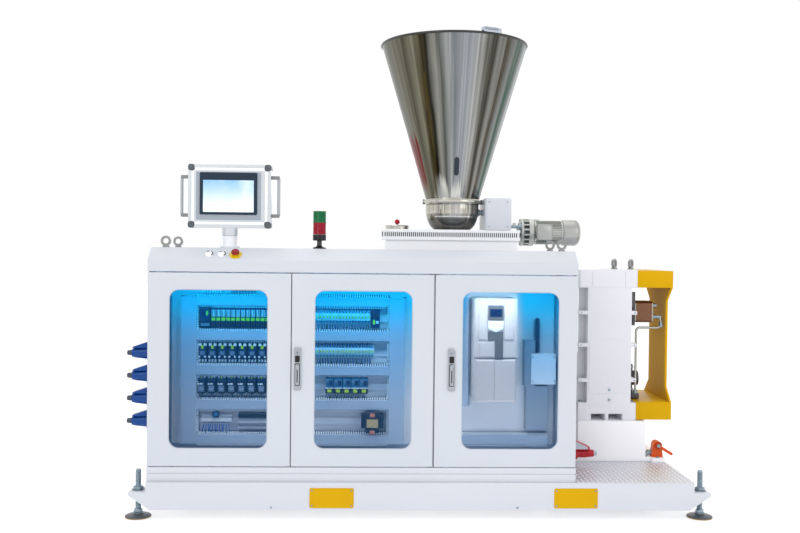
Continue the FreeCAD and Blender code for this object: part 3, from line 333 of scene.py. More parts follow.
class Wire:
    """A value inside a finish. Arithmetic on it adds Math nodes."""

    def __init__(self, finish, socket):
        self.finish, self.socket = finish, socket

    def math(self, operation, first, second=None):
        return self.finish.node("Math", {"operation": operation}, {0: first, 1: second})

    def __add__(self, other):
        return self.math("ADD", self, other)

    def __sub__(self, other):
        return self.math("SUBTRACT", self, other)

    def __rsub__(self, other):
        return self.math("SUBTRACT", other, self)

    def __mul__(self, other):
        return self.math("MULTIPLY", self, other)

    def __gt__(self, other):
        return self.math("GREATER_THAN", self, other)

    def __lt__(self, other):
        return self.math("LESS_THAN", self, other)

    __radd__ = __add__
    __rmul__ = __mul__

    def fade(self, start, end):
        """0 below a start and 1 above an end, smoothly between them."""
        return self.finish.node("MapRange", {"interpolation_type": "SMOOTHSTEP"},
                                {"Value": self, "From Min": start, "From Max": end})


def linear(colour):
    """A display colour, as 0 to 1 or whole 0 to 255 values, as the linear values that a shader takes."""
    most = 255 if isinstance(colour[0], int) else 1
    return tuple((c / most) ** 2.2 for c in colour) + (1.0,)


class Finish:
    """A procedural material with one Principled shader, named after its finish, which keeps the record's slot
    it belongs to.
    """

    def __init__(self, name, slot, colour, roughness=0.5, metallic=0.0, **constants):
        self.slot = slot
        self.material = bpy.data.materials.new(name)
        self.material.use_nodes = True
        self.tree = self.material.node_tree
        self.tree.nodes.clear()
        self.shader = self.tree.nodes.new("ShaderNodeBsdfPrincipled")
        output = self.tree.nodes.new("ShaderNodeOutputMaterial")
        self.tree.links.new(self.shader.outputs[0], output.inputs[0])
        self.colour = linear(colour)
        self.set("Base Color", self.colour)
        self.set("Roughness", roughness)
        self.set("Metallic", metallic)
        self.material.diffuse_color = self.colour
        for key, value in constants.items():
            self.set(key.replace("_", " ").title().replace("Ior", "IOR"), value)
        self.spot = self.node("TexCoord", output=3)

    def node(self, kind, settings=None, inputs=None, output=0):
        """Add a node with its settings first and then the values or links of its sockets."""
        made = self.tree.nodes.new("ShaderNode" + kind)
        for key, value in (settings or {}).items():
            if key == "stops":
                ramp = made.color_ramp
                for stop in value[1:-1]:
                    ramp.elements.new(stop[0])
                for element, (at, colour) in zip(ramp.elements, value):
                    element.position, element.color = at, colour
            else:
                setattr(made, key, value)
        for key, value in (inputs or {}).items():
            if isinstance(value, Wire):
                self.tree.links.new(value.socket, made.inputs[key])
            elif value is not None:
                made.inputs[key].default_value = value
        return Wire(self, made.outputs[output])

    def set(self, name, value):
        """Give the shader's socket a value or a link."""
        if isinstance(value, Wire):
            self.tree.links.new(value.socket, self.shader.inputs[name])
        else:
            self.shader.inputs[name].default_value = value

    def stretched(self, x, y, z):
        """Object coordinates with each axis scaled."""
        return self.node("VectorMath", {"operation": "MULTIPLY"}, {0: self.spot, 1: (x, y, z)})

    def noise(self, scale, detail=2.0, vector=None, roughness=0.5):
        return self.node("TexNoise", None, {"Vector": vector or self.spot, "Scale": scale, "Detail": detail,
                                            "Roughness": roughness})

    def mix(self, factor, first, second):
        """A colour between two colours."""
        return self.node("Mix", {"data_type": "RGBA"}, {0: factor, 6: first, 7: second}, output=2)

    def axes(self, vector=None):
        """The x, y and z of a point."""
        apart = self.tree.nodes.new("ShaderNodeSeparateXYZ")
        self.tree.links.new((vector or self.spot).socket, apart.inputs[0])
        return [Wire(self, apart.outputs[i]) for i in range(3)]

    def bump(self, height, strength=0.2, distance=0.001):
        self.set("Normal", self.node("Bump", None, {"Strength": strength, "Distance": distance,
                                                    "Height": height}))

    def shades(self, factor, spread=0.06):
        """Vary the base colour a little to both sides by a 0 to 1 factor."""
        darker = tuple(c * (1 - spread) for c in self.colour[:3]) + (1.0,)
        lighter = tuple(min(1.0, c * (1 + spread)) for c in self.colour[:3]) + (1.0,)
        self.set("Base Color", self.mix(factor, darker, lighter))


FINISHES = {}


def painted(name, slot, colour, roughness=0.38, coat=0.25, spread=0.035, sheen=0.5):
    """Powder coat: a fine orange peel and faint cloudiness."""
    paint = Finish(name, slot, colour, roughness, coat_weight=coat, coat_roughness=0.25,
                   specular_ior_level=sheen)
    cloud = paint.noise(2.2, 3.0)
    paint.shades(cloud, spread)
    paint.set("Roughness", cloud * 0.12 + (roughness - 0.06))
    paint.bump(paint.noise(420.0, 2.0), 0.07, 0.0006)
    FINISHES[name] = paint
    return paint


def moulded(name, slot, colour, roughness=0.35, grain=0.12):
    """Moulded plastic with a fine spark-eroded grain."""
    plastic = Finish(name, slot, colour, roughness, specular_ior_level=0.3)
    speck = plastic.noise(60.0, 4.0)
    plastic.shades(speck, 0.06)
    plastic.set("Roughness", speck * 0.16 + (roughness - 0.08))
    plastic.bump(plastic.noise(900.0, 1.0), grain, 0.0005)
    FINISHES[name] = plastic
    return plastic


def metal(name, slot, colour, roughness=0.3, grain=(30.0, 30.0, 900.0), spread=0.12):
    """Bare or plated metal with a drawn grain."""
    steel = Finish(name, slot, colour, roughness, metallic=1.0)
    lines = steel.noise(1.0, 3.0, steel.stretched(*grain))
    steel.shades(lines, spread)
    steel.set("Roughness", lines * 0.2 + (roughness - 0.1))
    steel.bump(lines, 0.08, 0.0004)
    FINISHES[name] = steel
    return steel


def zinc(name, slot, colour, roughness=0.36):
    """Zinc plating: blue-white with cloudy spots."""
    plate = Finish(name, slot, colour, roughness, metallic=0.9)
    cloud = plate.noise(45.0, 5.0)
    plate.set("Base Color", plate.mix(cloud.fade(0.35, 0.65), tuple(c * 0.72 for c in plate.colour[:3])
                                      + (1.0,), plate.colour))
    plate.set("Roughness", cloud * 0.3 + (roughness - 0.12))
    plate.bump(cloud, 0.06, 0.0005)
    FINISHES[name] = plate
    return plate


def mirror_steel(colours):
    """Polished sheet whose colour holds painted reflections of a large room: painted streaks up from its rim,
    warm to the left and green to the right, with painted highlights and painted dark bands on the bowl.
    """
    x0, x1, y0, y1, foot, _ = extent("hopper_cone")
    steel = Finish("polished_stainless", "polished_stainless", colours.polished_stainless, 0.16, metallic=1.0)
    away = steel.node("VectorMath", {"operation": "SUBTRACT"},
                      {0: steel.spot, 1: ((x0 + x1) / 2 * MM, (y0 + y1) / 2 * MM, 0)})
    flat = steel.node("VectorMath", {"operation": "MULTIPLY"}, {0: away, 1: (1, 1, 0)})
    around = steel.node("VectorMath", {"operation": "NORMALIZE"}, {0: flat})
    side_x, side_y, _ = steel.axes(around)
    height = steel.axes()[2]

    def streaks(detail, spread, stretch):
        """Noise that runs up the sheet."""
        place = steel.node("CombineXYZ", None, {0: side_x * spread, 1: side_y * spread, 2: height * stretch})
        return steel.noise(1.0, detail, place)

    broad, fine = streaks(2.0, 3.0, 1.6), streaks(4.0, 24.0, 1.1)
    across = side_x * 0.5 + 0.5 + (broad - 0.5) * 0.09 + (fine - 0.5) * 0.07
    # Painted reflection: tones laid round the sheet by its angle from the axis, as if mirrored from the room.
    stops = [(at, linear(colour)) for at, colour in (
        (0.0, (104, 106, 100)), (0.06, (124, 122, 108)), (0.12, (84, 82, 70)), (0.17, (126, 124, 108)),
        (0.22, (72, 66, 48)), (0.27, (40, 40, 34)), (0.31, (134, 134, 126)), (0.36, (84, 86, 82)),
        (0.42, (160, 163, 162)), (0.47, (118, 124, 126)), (0.51, (158, 160, 165)), (0.57, (146, 149, 155)),
        (0.63, (170, 171, 170)), (0.69, (120, 119, 112)), (0.74, (66, 64, 56)), (0.79, (150, 150, 145)),
        (0.84, (84, 78, 68)), (0.89, (138, 142, 140)), (0.925, (40, 84, 64)), (0.96, (104, 112, 112)),
        (1.0, (170, 174, 178)))]
    painted_reflection = steel.node("ValToRGB", {"stops": stops}, {0: across})
    # Painted reflection: some streaks darkened.
    streak = fine.fade(0.3, 0.7)
    painted_reflection = steel.mix(streak * 0.85, painted_reflection, steel.node("Mix", {"data_type": "RGBA", "blend_type": "MULTIPLY"},
                                                     {0: 1.0, 6: painted_reflection, 7: (0.6, 0.61, 0.61, 1.0)}, output=2))
    # A painted red reflection low on the sheet's left edge.
    red = (side_x < -0.84) * (height < (1.97 + (fine - 0.5) * 0.3)) * height.fade(1.66, 1.76)
    painted_reflection = steel.mix(red * (fine.fade(0.3, 0.55) * 0.6 + 0.38), painted_reflection, linear((104, 24, 28)))
    # A painted warm gold reflection in a band on the left.
    gold_reflection = (side_x < -0.5) * (side_x > -0.66) * (height < (2.25 + (broad - 0.5) * 0.9))
    painted_reflection = steel.mix(gold_reflection * fine.fade(0.42, 0.62) * 0.55, painted_reflection, linear((96, 80, 38)))
    # A painted bright reflection low on the sheet above the throat, with a ragged upper edge.
    crown = height + side_x * 0.3 + side_x * side_x * 0.5 + (fine - 0.5) * 0.12 - (broad - 0.5) * 0.5
    low = (1 - crown.fade((foot + 10) * MM, (foot + 110) * MM)) * (height > foot * MM)
    painted_reflection = steel.mix(low * 0.75, painted_reflection, linear((214, 213, 206)))
    # Painted reflection: the bowl below the cone made lighter.
    bowl = 1 - height.fade((foot - 45) * MM, (foot - 20) * MM)
    painted_reflection = steel.mix(bowl * 0.4, painted_reflection, linear((186, 184, 176)))
    # A painted bright highlight band round the bowl's waist, broken by the streaks.
    waist = (height > (foot - 84) * MM) * (height < (foot - 34) * MM)
    painted_reflection = steel.mix(waist * fine.fade(0.4, 0.5) * 0.5, painted_reflection, linear((226, 222, 210)))
    # Painted dark reflection over the bowl's lower part.
    dark_reflection = 1 - height.fade((foot - 116) * MM, (foot - 104) * MM)
    painted_reflection = steel.mix(dark_reflection * (0.35 + broad * 0.6), painted_reflection, linear((74, 74, 72)))
    # A painted white highlight line across the front of the bowl.
    line = (height > (foot - 104) * MM) * (height < (foot - 98) * MM) * (side_x < 0.72) * (side_x > -0.72)
    painted_reflection = steel.mix(line * 0.8, painted_reflection, linear((240, 240, 236)))
    steel.set("Base Color", painted_reflection)
    steel.set("Roughness", fine * 0.1 + 0.09)
    steel.bump(fine, 0.05, 0.0008)
    FINISHES["polished_stainless"] = steel


def tinted_glass(colours):
    """Thin acrylic with its own light blue tint, which lets the equipment behind show through. Its blue
    deepening towards the top is painted cyan light from the top of each bay, and a clearer patch in front of
    the drive is painted front light on the drive.
    """
    low, high = extent("window_left")[4:]
    glass = Finish("tinted_window", "tinted_window", colours.tinted_window, 0.05, coat_weight=0.3)
    x, _, z = glass.axes()
    cloud = glass.noise(1.3, 2.0)
    near, far = extent("inverter")[:2]
    # Painted front light: the tint is cleared where the drive stands behind the glass, so the drive looks lit
    # from the front.
    painted_front_light = x.fade((near - 90) * MM, (near - 40) * MM) * (1 - x.fade((far - 60) * MM, (far + 10) * MM))
    drift = (cloud - 0.5) * 0.1 - painted_front_light * 0.16
    # Painted light: the tint turns bluer upwards, as cyan light falls from the top of each bay.
    middle = (z + drift).fade(low * MM + 0.12, low * MM + 0.6)
    top = (z + drift).fade(high * MM - 0.3, high * MM + 0.02)
    # Pale low down, blue higher up, deep cyan at the top: the glass's own blue tint, deepened upwards as
    # painted light.
    pale, blue, deep = (glass.node("BsdfTransparent", None, {"Color": tint + (1.0,)}) for tint in (
        (0.8, 0.83, 0.88), (0.46, 0.66, 0.8), (0.03, 0.7, 0.94)))
    tint = glass.node("MixShader", None, {0: middle * (1 - painted_front_light * 0.85), 1: pale, 2: blue})
    tint = glass.node("MixShader", None, {0: top * (1 - painted_front_light * 0.35), 1: tint, 2: deep})
    # A little more blue film at the top, also painted light.
    film = glass.node("MixShader", None, {0: top * 0.05 + 0.06, 1: tint,
                                          2: Wire(glass, glass.shader.outputs[0])})
    glass.tree.links.new(film.socket, glass.tree.nodes["Material Output"].inputs[0])
    glass.material.surface_render_method = "BLENDED"
    FINISHES["tinted_window"] = glass


# finish: (kind, record slot, colour, what it covers, settings of its kind)
PALETTE = {
    "frame_paint": (painted, "frame_paint", (204, 207, 215), "Skid and plinth", ()),
    # A lighter copy of the frame paint: painted light against the shade that falls on the pedestal.
    "pedestal_paint": (painted, "frame_paint", (244, 244, 248), "Pedestal and deck edge", ()),
    "cabinet_paint": (painted, "cabinet_paint", (199, 204, 212), "Cabinet, doors and console", ()),
    # Painted shade: dark blue for the cabinet's inner side wall, which lies in shade behind the left window.
    "liner_blue": (painted, "cabinet_paint", (84, 100, 120), "Inside of the cabinet's end", ()),
    "web_shade": (painted, "gearbox_paint", (192, 193, 198), "Web between the gearbox's flanges", (0.3, 0.4)),
    "gearbox_paint": (painted, "gearbox_paint", (222, 222, 229), "Gearbox", (0.3, 0.4)),
    "feeder_paint": (painted, "feeder_paint", (246, 247, 250), "Feeder and barrel guard", ()),
    "drive_box_paint": (painted, "drive_box_paint", (208, 212, 220), "Stirrer drive box", ()),
    "motor_paint": (painted, "motor_paint", (150, 153, 158), "Motors", (0.32, 0.35)),
    "silver_paint": (metal, "motor_paint", (187, 189, 185), "Feeder gearmotor",
                     (0.42, (4.0, 4.0, 4.0), 0.05)),
    "cowl_paint": (metal, "motor_paint", (172, 173, 171), "Motor cowl and terminal box",
                   (0.36, (4.0, 4.0, 4.0), 0.05)),
    "corner_grey": (painted, "panel_aluminium", (72, 77, 86), "Operator panel corners", (0.4, 0.2)),
    "panel_face": (painted, "panel_aluminium", (148, 156, 168), "Operator panel face", (0.4, 0.2)),
    "ring_yellow": (painted, "signal_yellow", (226, 190, 20), "Emergency stop ring", (0.3, 0.3)),
    "signal_yellow": (painted, "signal_yellow", (210, 162, 0), "Guard and fork-pocket covers",
                      (0.3, 0.05, 0.03, 0.08)),
    "guard_shade": (painted, "signal_yellow", (190, 143, 4), "Inner face of the guard",
                    (0.5, 0.0, 0.05, 0.05)),
    "foot_iron": (painted, "pump_iron", (70, 76, 82), "Levelling pads", (0.45, 0.2)),
    "tread_plate": (metal, "tread_plate", (214, 214, 220), "Tread plate", (0.5, (8.0, 900.0, 8.0), 0.05)),
    # A lighter copy of the tread plate: painted highlights on the raised lozenges.
    "tread_bright": (metal, "tread_plate", (240, 240, 244), "Tread lozenges", (0.4, (8.0, 900.0, 8.0), 0.05)),
    "handle_metal": (metal, "handle_metal", (168, 173, 180), "Door handles and post", ()),
    "rail_steel": (metal, "panel_aluminium", (176, 178, 182), "Grab rails", (0.32,)),
    "panel_aluminium": (metal, "panel_aluminium", (206, 211, 216), "Operator panel frame",
                        (0.34, (900.0, 30.0, 30.0), 0.05)),
    "bright_steel": (metal, "polished_stainless", (196, 194, 186), "Clamp, lid and bezels", (0.2,)),
    "dark_steel": (metal, "polished_stainless", (74, 76, 74), "Hopper rim and slot frame", (0.26,)),
    "brazed_copper": (metal, "brazed_copper", (156, 118, 96), "Oil cooler", (0.34, (60.0, 60.0, 60.0), 0.2)),
    "pump_iron": (metal, "pump_iron", (92, 92, 94), "Oil pump", (0.5, (200.0, 200.0, 200.0), 0.2)),
    "barrel_steel": (metal, "barrel_steel", (150, 150, 150), "Barrel", (0.34,)),
    "zinc_steel": (zinc, "zinc_steel", (158, 175, 186), "Studs, screws and fittings", ()),
    "galvanised_plate": (painted, "galvanised_plate", (232, 231, 230), "Mounting plate", (0.42, 0.1)),
    "duct_plastic": (moulded, "duct_plastic", (176, 190, 202), "Wiring ducts", (0.5,)),
    "duct_comb": (moulded, "duct_plastic", (244, 248, 250), "Duct fingers", (0.5,)),
    "device_plastic": (moulded, "device_plastic", (34, 38, 46), "Device housings", (0.45,)),
    # Near black as painted shade: behind the duct fingers, inside the feeder hood and in the motors' fan
    # openings.
    "device_dark": (moulded, "device_plastic", (30, 31, 34), "Recesses", (0.6,)),
    "device_navy": (moulded, "device_plastic", (26, 50, 84), "Navy modules", (0.4,)),
    "device_slate": (moulded, "device_plastic", (112, 128, 148), "Slate modules", (0.4,)),
    "device_white": (moulded, "device_plastic", (244, 246, 247), "White modules", (0.4,)),
    "device_lime": (moulded, "device_plastic", (196, 222, 44), "Yellow-green tags", (0.4,)),
    "device_grey": (moulded, "device_plastic", (150, 158, 166), "Grey modules", (0.4,)),
    "device_cyan": (moulded, "device_plastic", (176, 226, 238), "Pale breakers", (0.4,)),
    "device_teal": (moulded, "device_plastic", (58, 124, 160), "Motor breakers", (0.4,)),
    "keypad_grey": (moulded, "device_plastic", (104, 102, 98), "Drive keypad", (0.4,)),
    "device_screen": (moulded, "device_plastic", (20, 34, 66), "Small displays", (0.2,)),
    "device_box_blue": (moulded, "device_plastic", (152, 162, 170), "Supply box", (0.4,)),
    "device_brass": (metal, "zinc_steel", (178, 140, 84), "Foot rims", (0.35,)),
    "device_brass_plate": (moulded, "device_plastic", (196, 170, 110), "Transformer plate", (0.4,)),
    "device_copper_stud": (moulded, "device_plastic", (206, 128, 96), "Transformer terminals", (0.4,)),
    "wire_blue": (moulded, "device_plastic", (40, 92, 178), "Blue wires", (0.35,)),
    "drive_plastic": (moulded, "drive_plastic", (208, 199, 190), "Frequency drive", (0.4,)),
    "plug_blue": (moulded, "plug_blue", (12, 66, 134), "Blue plugs", (0.28,)),
    "plug_red": (moulded, "plug_red", (178, 34, 48), "Red plug", (0.28,)),
    "post_paint": (painted, "cabinet_paint", (234, 237, 242), "Operator panel post", ()),
    "stop_red": (moulded, "plug_red", (138, 28, 28), "Emergency stop button", (0.16, 0.02)),
    "gland_dark": (moulded, "zinc_steel", (66, 74, 86), "Blue plug glands", (0.4,)),
    "pipe_steel": (metal, "zinc_steel", (178, 180, 174), "Oil pipe", (0.3, (60.0, 60.0, 60.0), 0.1)),
    "eye_steel": (metal, "zinc_steel", (150, 151, 150), "Lifting eyes", (0.3, (60.0, 60.0, 60.0), 0.1)),
    "reducer_shade": (metal, "motor_paint", (74, 76, 78), "Between the reducer's ribs",
                      (0.5, (4.0, 4.0, 4.0), 0.05)),
    "rail_end": (metal, "panel_aluminium", (136, 138, 140), "Grab rail ends", (0.4,)),
    "gland_grey": (moulded, "zinc_steel", (178, 186, 196), "Cable glands", (0.4,)),
    "button_plastic": (moulded, "button_plastic", (34, 34, 37), "Knobs and tower base", (0.3,)),
    "seal_rubber": (moulded, "button_plastic", (176, 184, 196), "Window seals", (0.6,)),
    "ball_red": (moulded, "plug_red", (172, 20, 46), "Lid ball", (0.14, 0.02)),
    "lens_red": (moulded, "lens_plastic", (146, 16, 42), "Red lens", (0.16, 0.02)),
    "lens_green": (moulded, "lens_plastic", (12, 104, 62), "Green lens", (0.16, 0.02)),
    "screen_front": (moulded, "screen_front", (34, 50, 64), "Screen bezel", (0.16, 0.02)),
    "valve_orange": (moulded, "valve_orange", (212, 84, 24), "Valve", (0.3,)),
}


def sky_screen(colours):
    """A lit screen that fades from pale blue at its top to white."""
    low, high = extent("panel_screen")[4:]
    screen = Finish("screen_glow", "screen_front", colours.screen_glow, 0.2)
    rise = screen.axes()[2].fade(low * MM, high * MM)
    cloud = screen.noise(9.0, 3.0).fade(0.4, 0.7)
    shade = screen.mix(rise, (0.86, 0.93, 1.0, 1.0), linear(colours.screen_glow))
    shade = screen.mix(cloud * 0.5, shade, (0.9, 0.95, 1.0, 1.0))
    screen.set("Base Color", shade)
    screen.set("Emission Color", shade)
    screen.set("Emission Strength", 0.12)
    FINISHES["screen_glow"] = screen


def build_finishes(colours):
    for name, (kind, slot, _, _, settings) in PALETTE.items():
        kind(name, slot, getattr(colours, name), *settings)
    mirror_steel(colours)
    tinted_glass(colours)
    sky_screen(colours)


# ---------------------------------------------------------------- what a user may change

def length(name, description, millimetres):
    """A length property whose default is given in millimetres."""
    return bpy.props.FloatProperty(name=name, description=description, default=millimetres * MM, min=0.0,
                                   unit="LENGTH", precision=4)


def shade(name, description, colour):
    """A colour property whose default is given as 0 to 255 display values."""
    return bpy.props.FloatVectorProperty(name=name, description=description, size=3, min=0.0, max=1.0,
                                         subtype="COLOR_GAMMA", default=[c / 255 for c in colour])


class ExtruderSizes(bpy.types.PropertyGroup):
    """Sizes of the fine pieces and strengths of the lights."""
    softness: bpy.props.FloatProperty(name="Edge softness", description="Scales every broken edge",
                                      default=1.0, min=0.0, max=3.0, subtype="FACTOR")
    comb_pitch: length("Comb pitch", "Distance between two fingers of a wiring duct", 12.5)
    relay_pitch: length("Relay pitch", "Width of one relay or contactor", 53)
    card_pitch: length("Card pitch", "Width of one input card", 26)
    breaker_pitch: length("Breaker pitch", "Width of one breaker", 17.5)
    terminal_pitch: length("Terminal pitch", "Width of one terminal", 9)
    seal_width: length("Seal width", "Width of the rubber round a window", 6)
    screw_size: length("Screw size", "Radius of a panel screw's head", 4.5)
    thread_pitch: length("Thread pitch", "Pitch of the levelling studs", 3.5)
    tread_pitch: length("Tread pitch", "Distance between two lozenges of the deck", 25)
    tread_length: length("Tread length", "Length of one lozenge", 26)
    fin_pitch: length("Fin pitch", "Distance between two fins of the gearmotor", 11)
    cooler_pitch: length("Cooler pitch", "Distance between two plates of the cooler", 5.2)
    seam_width: length("Seam width", "Gap between two cover plates", 2)
    lamp_power: bpy.props.FloatProperty(name="Lamp power",
                                        description="Scales the lights outside the machine", default=1.0,
                                        min=0.0, subtype="FACTOR")
    bay_power: bpy.props.FloatProperty(name="Bay power", description="Light behind each window", default=3.9,
                                       min=0.0, unit="POWER")


class ExtruderColours(bpy.types.PropertyGroup):
    """The colour of each finish."""
    __annotations__ = {name: shade(name.replace("_", " ").capitalize(), about, colour)
                       for name, (_, _, colour, about, _) in PALETTE.items()}
    __annotations__.update(
        # The hopper's bright streaks are painted reflections in its colour.
        polished_stainless=shade("Polished stainless", "Hopper's bright streaks", (196, 197, 196)),
        # The windows' blue, more of it at the top as painted cyan light from each bay.
        tinted_window=shade("Tinted window", "Upper part of the windows", (6, 132, 205)),
        screen_glow=shade("Screen glow", "Top of the lit screen", (120, 178, 222)))


# ---------------------------------------------------------------- which node takes which finish

# node: (finish, width of the broken edge in millimetres)
SOFTENED = {
    "valve_lever": ("valve_orange", 2.5), "oil_pump": ("pump_iron", 3),
    "base_beam_front": ("frame_paint", 3), "base_beam_rear": ("frame_paint", 3),
    "base_crossmembers": ("frame_paint", 3), "cabinet_plinth": ("frame_paint", 1.2),
    "cabinet_side_left": ("cabinet_paint", 1.5), "cabinet_side_right": ("cabinet_paint", 1.5),
    "cabinet_back": ("cabinet_paint", 1.5), "cabinet_posts": ("cabinet_paint", 1.5),
    "console": ("cabinet_paint", 3), "door_left": ("cabinet_paint", 1.5),
    "door_middle": ("cabinet_paint", 1.5), "door_right": ("cabinet_paint", 1.5),
    # The pedestal takes a lighter copy of the frame paint, as painted light.
    "gearbox": ("gearbox_paint", 3), "gearbox_pedestal": ("pedestal_paint", 3),
    "rear_guard": ("signal_yellow", 3), "feeder_box": ("feeder_paint", 2),
    "drive_box": ("drive_box_paint", 1), "cooler_bracket": ("pump_iron", 1.5),
    "barrel_guard": ("feeder_paint", 2), "barrel_stands": ("frame_paint", 3),
    "panel_frame": ("panel_aluminium", 1),
}
# node: finish
PLAIN = {"deck_plate": "tread_plate", "hinge_pins": "zinc_steel", "window_left": "tinted_window",
         "window_middle": "tinted_window", "window_right": "tinted_window",
         "mounting_plate": "galvanised_plate", "lifting_eyes": "eye_steel", "oil_pipe": "pipe_steel",
         "valve_body": "valve_orange", "barrel": "barrel_steel", }


class EXTRUDER_OT_finishes(bpy.types.Operator):
    """The materials, the pieces that only take one and the pieces with broken edges"""
    bl_idname = "extruder.finishes"
    bl_label = "Plain finishes"

    def execute(self, context):
        sizes = context.scene.extruder_sizes
        build_finishes(context.scene.extruder_colours)
        for node, finish in PLAIN.items():
            mesh = NODES[node].data
            mesh.materials.clear()
            mesh.materials.append(FINISHES[finish].material)
        for node, (finish, width) in SOFTENED.items():
            softened(node, finish, width * sizes.softness)
        return {"FINISHED"}


# ---------------------------------------------------------------- equipment behind the windows

# left, right, bottom, top and front of each block as shares of its module, and its colour
MODULES = {
    "relay": [(0.03, 0.97, 0.0, 1.0, 0.55, "black"), (0.1, 0.9, 0.24, 0.7, 0.85, "navy"),
              (0.14, 0.3, 0.26, 0.34, 0.97, "white"), (0.7, 0.86, 0.26, 0.34, 0.97, "white"),
              (0.12, 0.4, 0.78, 0.9, 0.72, "white"), (0.6, 0.88, 0.78, 0.9, 0.72, "white"),
              (0.38, 0.62, 0.66, 0.8, 0.95, "lime"), (0.28, 0.72, 0.38, 0.56, 1.0, "slate"),
              (0.12, 0.28, 0.06, 0.18, 0.75, "white"), (0.42, 0.58, 0.06, 0.18, 0.75, "white"),
              (0.72, 0.88, 0.06, 0.18, 0.75, "white"), (0.28, 0.36, 0.9, 0.99, 0.7, "slate"),
              (0.66, 0.74, 0.9, 0.99, 0.7, "slate")],
    "contactor": [(0.03, 0.97, 0.12, 0.9, 0.5, "black"), (0.12, 0.88, 0.1, 0.66, 0.93, "black"),
                  (0.22, 0.78, 0.2, 0.5, 0.98, "slate"), (0.3, 0.7, 0.27, 0.4, 1.0, "grey"),
                  (0.36, 0.64, 0.55, 0.62, 1.0, "white"), (0.16, 0.3, 0.54, 0.62, 0.97, "white"),
                  (0.08, 0.92, 0.7, 0.84, 0.8, "navy"), (0.14, 0.3, 0.86, 0.97, 0.7, "white"),
                  (0.42, 0.58, 0.84, 0.95, 0.78, "lime"), (0.7, 0.86, 0.86, 0.97, 0.7, "white"),
                  (0.1, 0.24, 0.0, 0.1, 0.6, "white"), (0.43, 0.57, 0.0, 0.1, 0.6, "slate"),
                  (0.76, 0.9, 0.0, 0.1, 0.6, "white")],
    "input_card": [(0.04, 0.96, 0.0, 1.0, 0.8, "navy"), (0.12, 0.88, 0.56, 0.9, 0.95, "white"),
                   (0.22, 0.36, 0.58, 0.88, 1.0, "navy"), (0.6, 0.74, 0.58, 0.88, 1.0, "navy"),
                   (0.12, 0.88, 0.34, 0.5, 1.0, "lime"), (0.1, 0.9, 0.06, 0.26, 0.9, "black")],
    "processor": [(0.02, 0.98, 0.0, 1.0, 0.85, "black"), (0.1, 0.9, 0.3, 0.92, 1.0, "navy"),
                  (0.18, 0.5, 0.55, 0.85, 1.03, "screen"), (0.6, 0.8, 0.6, 0.8, 1.03, "lime"),
                  (0.12, 0.88, 0.08, 0.22, 0.95, "slate")],
    "breaker": [(0.04, 0.96, 0.0, 1.0, 0.55, "cyan"), (0.04, 0.96, 0.27, 0.73, 0.95, "cyan"),
                (0.3, 0.7, 0.44, 0.6, 1.08, "lime"), (0.32, 0.68, 0.08, 0.2, 0.6, "slate"),
                (0.32, 0.68, 0.8, 0.92, 0.6, "slate"), (0.2, 0.8, 0.64, 0.7, 0.98, "white")],
    "motor_breaker": [(0.03, 0.97, 0.0, 1.0, 0.6, "black"), (0.05, 0.95, 0.42, 0.96, 0.9, "teal"),
                      (0.14, 0.4, 0.7, 0.86, 1.0, "slate"), (0.5, 0.86, 0.56, 0.84, 1.05, "navy"),
                      (0.04, 0.96, 0.34, 0.4, 0.95, "white"), (0.26, 0.74, 0.1, 0.28, 0.95, "lime")],
    "terminal": [(0.06, 0.94, 0.0, 1.0, 0.55, "grey"), (0.06, 0.94, 0.3, 0.68, 0.9, "grey"),
                 (0.2, 0.8, 0.06, 0.24, 0.7, "white"), (0.3, 0.7, 0.44, 0.54, 0.95, "white"),
                 (0.1, 0.9, 0.76, 0.96, 0.8, "black")],
    "earth_terminal": [(0.06, 0.94, 0.0, 1.0, 0.6, "white"), (0.1, 0.9, 0.3, 0.7, 1.0, "white"),
                       (0.3, 0.7, 0.1, 0.24, 0.8, "slate")],
    "monitor": [(0.02, 0.98, 0.0, 1.0, 0.9, "navy"), (0.15, 0.85, 0.6, 0.9, 1.0, "black"),
                (0.2, 0.45, 0.2, 0.45, 1.0, "lime"), (0.55, 0.85, 0.25, 0.4, 1.0, "white")],
}


def fill_module(colours, kind, left, right, bottom, top, back, depth):
    """Draw one module's blocks between its limits, each into the shape of its colour."""
    for a, b, low, high, share, colour in MODULES[kind]:
        colours.setdefault(colour, Shape()).box(
            (left + a * (right - left), left + b * (right - left)), (back - share * depth, back),
            (bottom + low * (top - bottom), bottom + high * (top - bottom)), 0.8)


def fill_row(colours, kind, left, right, bottom, top, back, depth, width):
    """A row of like modules that fills a length."""
    count = max(1, round((right - left) / width))
    step = (right - left) / count
    for i in range(count):
        fill_module(colours, kind, left + i * step, left + (i + 1) * step, bottom, top, back, depth)


DUCT_HEIGHT, DUCT_WIDTH, SHELVES = 50, 82, 4


def slotted_duct(covers, combs, gap_shadows, left, right, bottom, top, back, depth, pitch, upright=False):
    """A wiring duct: a clipped cover with a lip over side walls cut into fingers."""
    front = back - depth
    covers.box((left, right), (front, front + 7), (bottom, top), 1.5)
    covers.box((left + 2, right - 2), (front + 7, back), (bottom + 4, top - 4), 1.0)
    finger = pitch * 0.56
    start, end, low, high = (bottom, top, left, right) if upright else (left, right, bottom, top)
    for edge in (low, high):
        along, across = (start, end), (edge - 11.5, edge + 11.5)
        # Dark strips behind each row of fingers: painted shadow between the fingers.
        gap_shadows.box(across if upright else along, (back - 6, back - 4.5), along if upright else across, 0.2)
    for i in range(int((end - start) // pitch)):
        at = start + (i + 0.5) * pitch
        for edge in (low, high):
            along, across = (at - finger / 2, at + finger / 2), (edge - 11, edge + 11)
            combs.box(across if upright else along, (front + 9, back - 4), along if upright else across, 0.4)


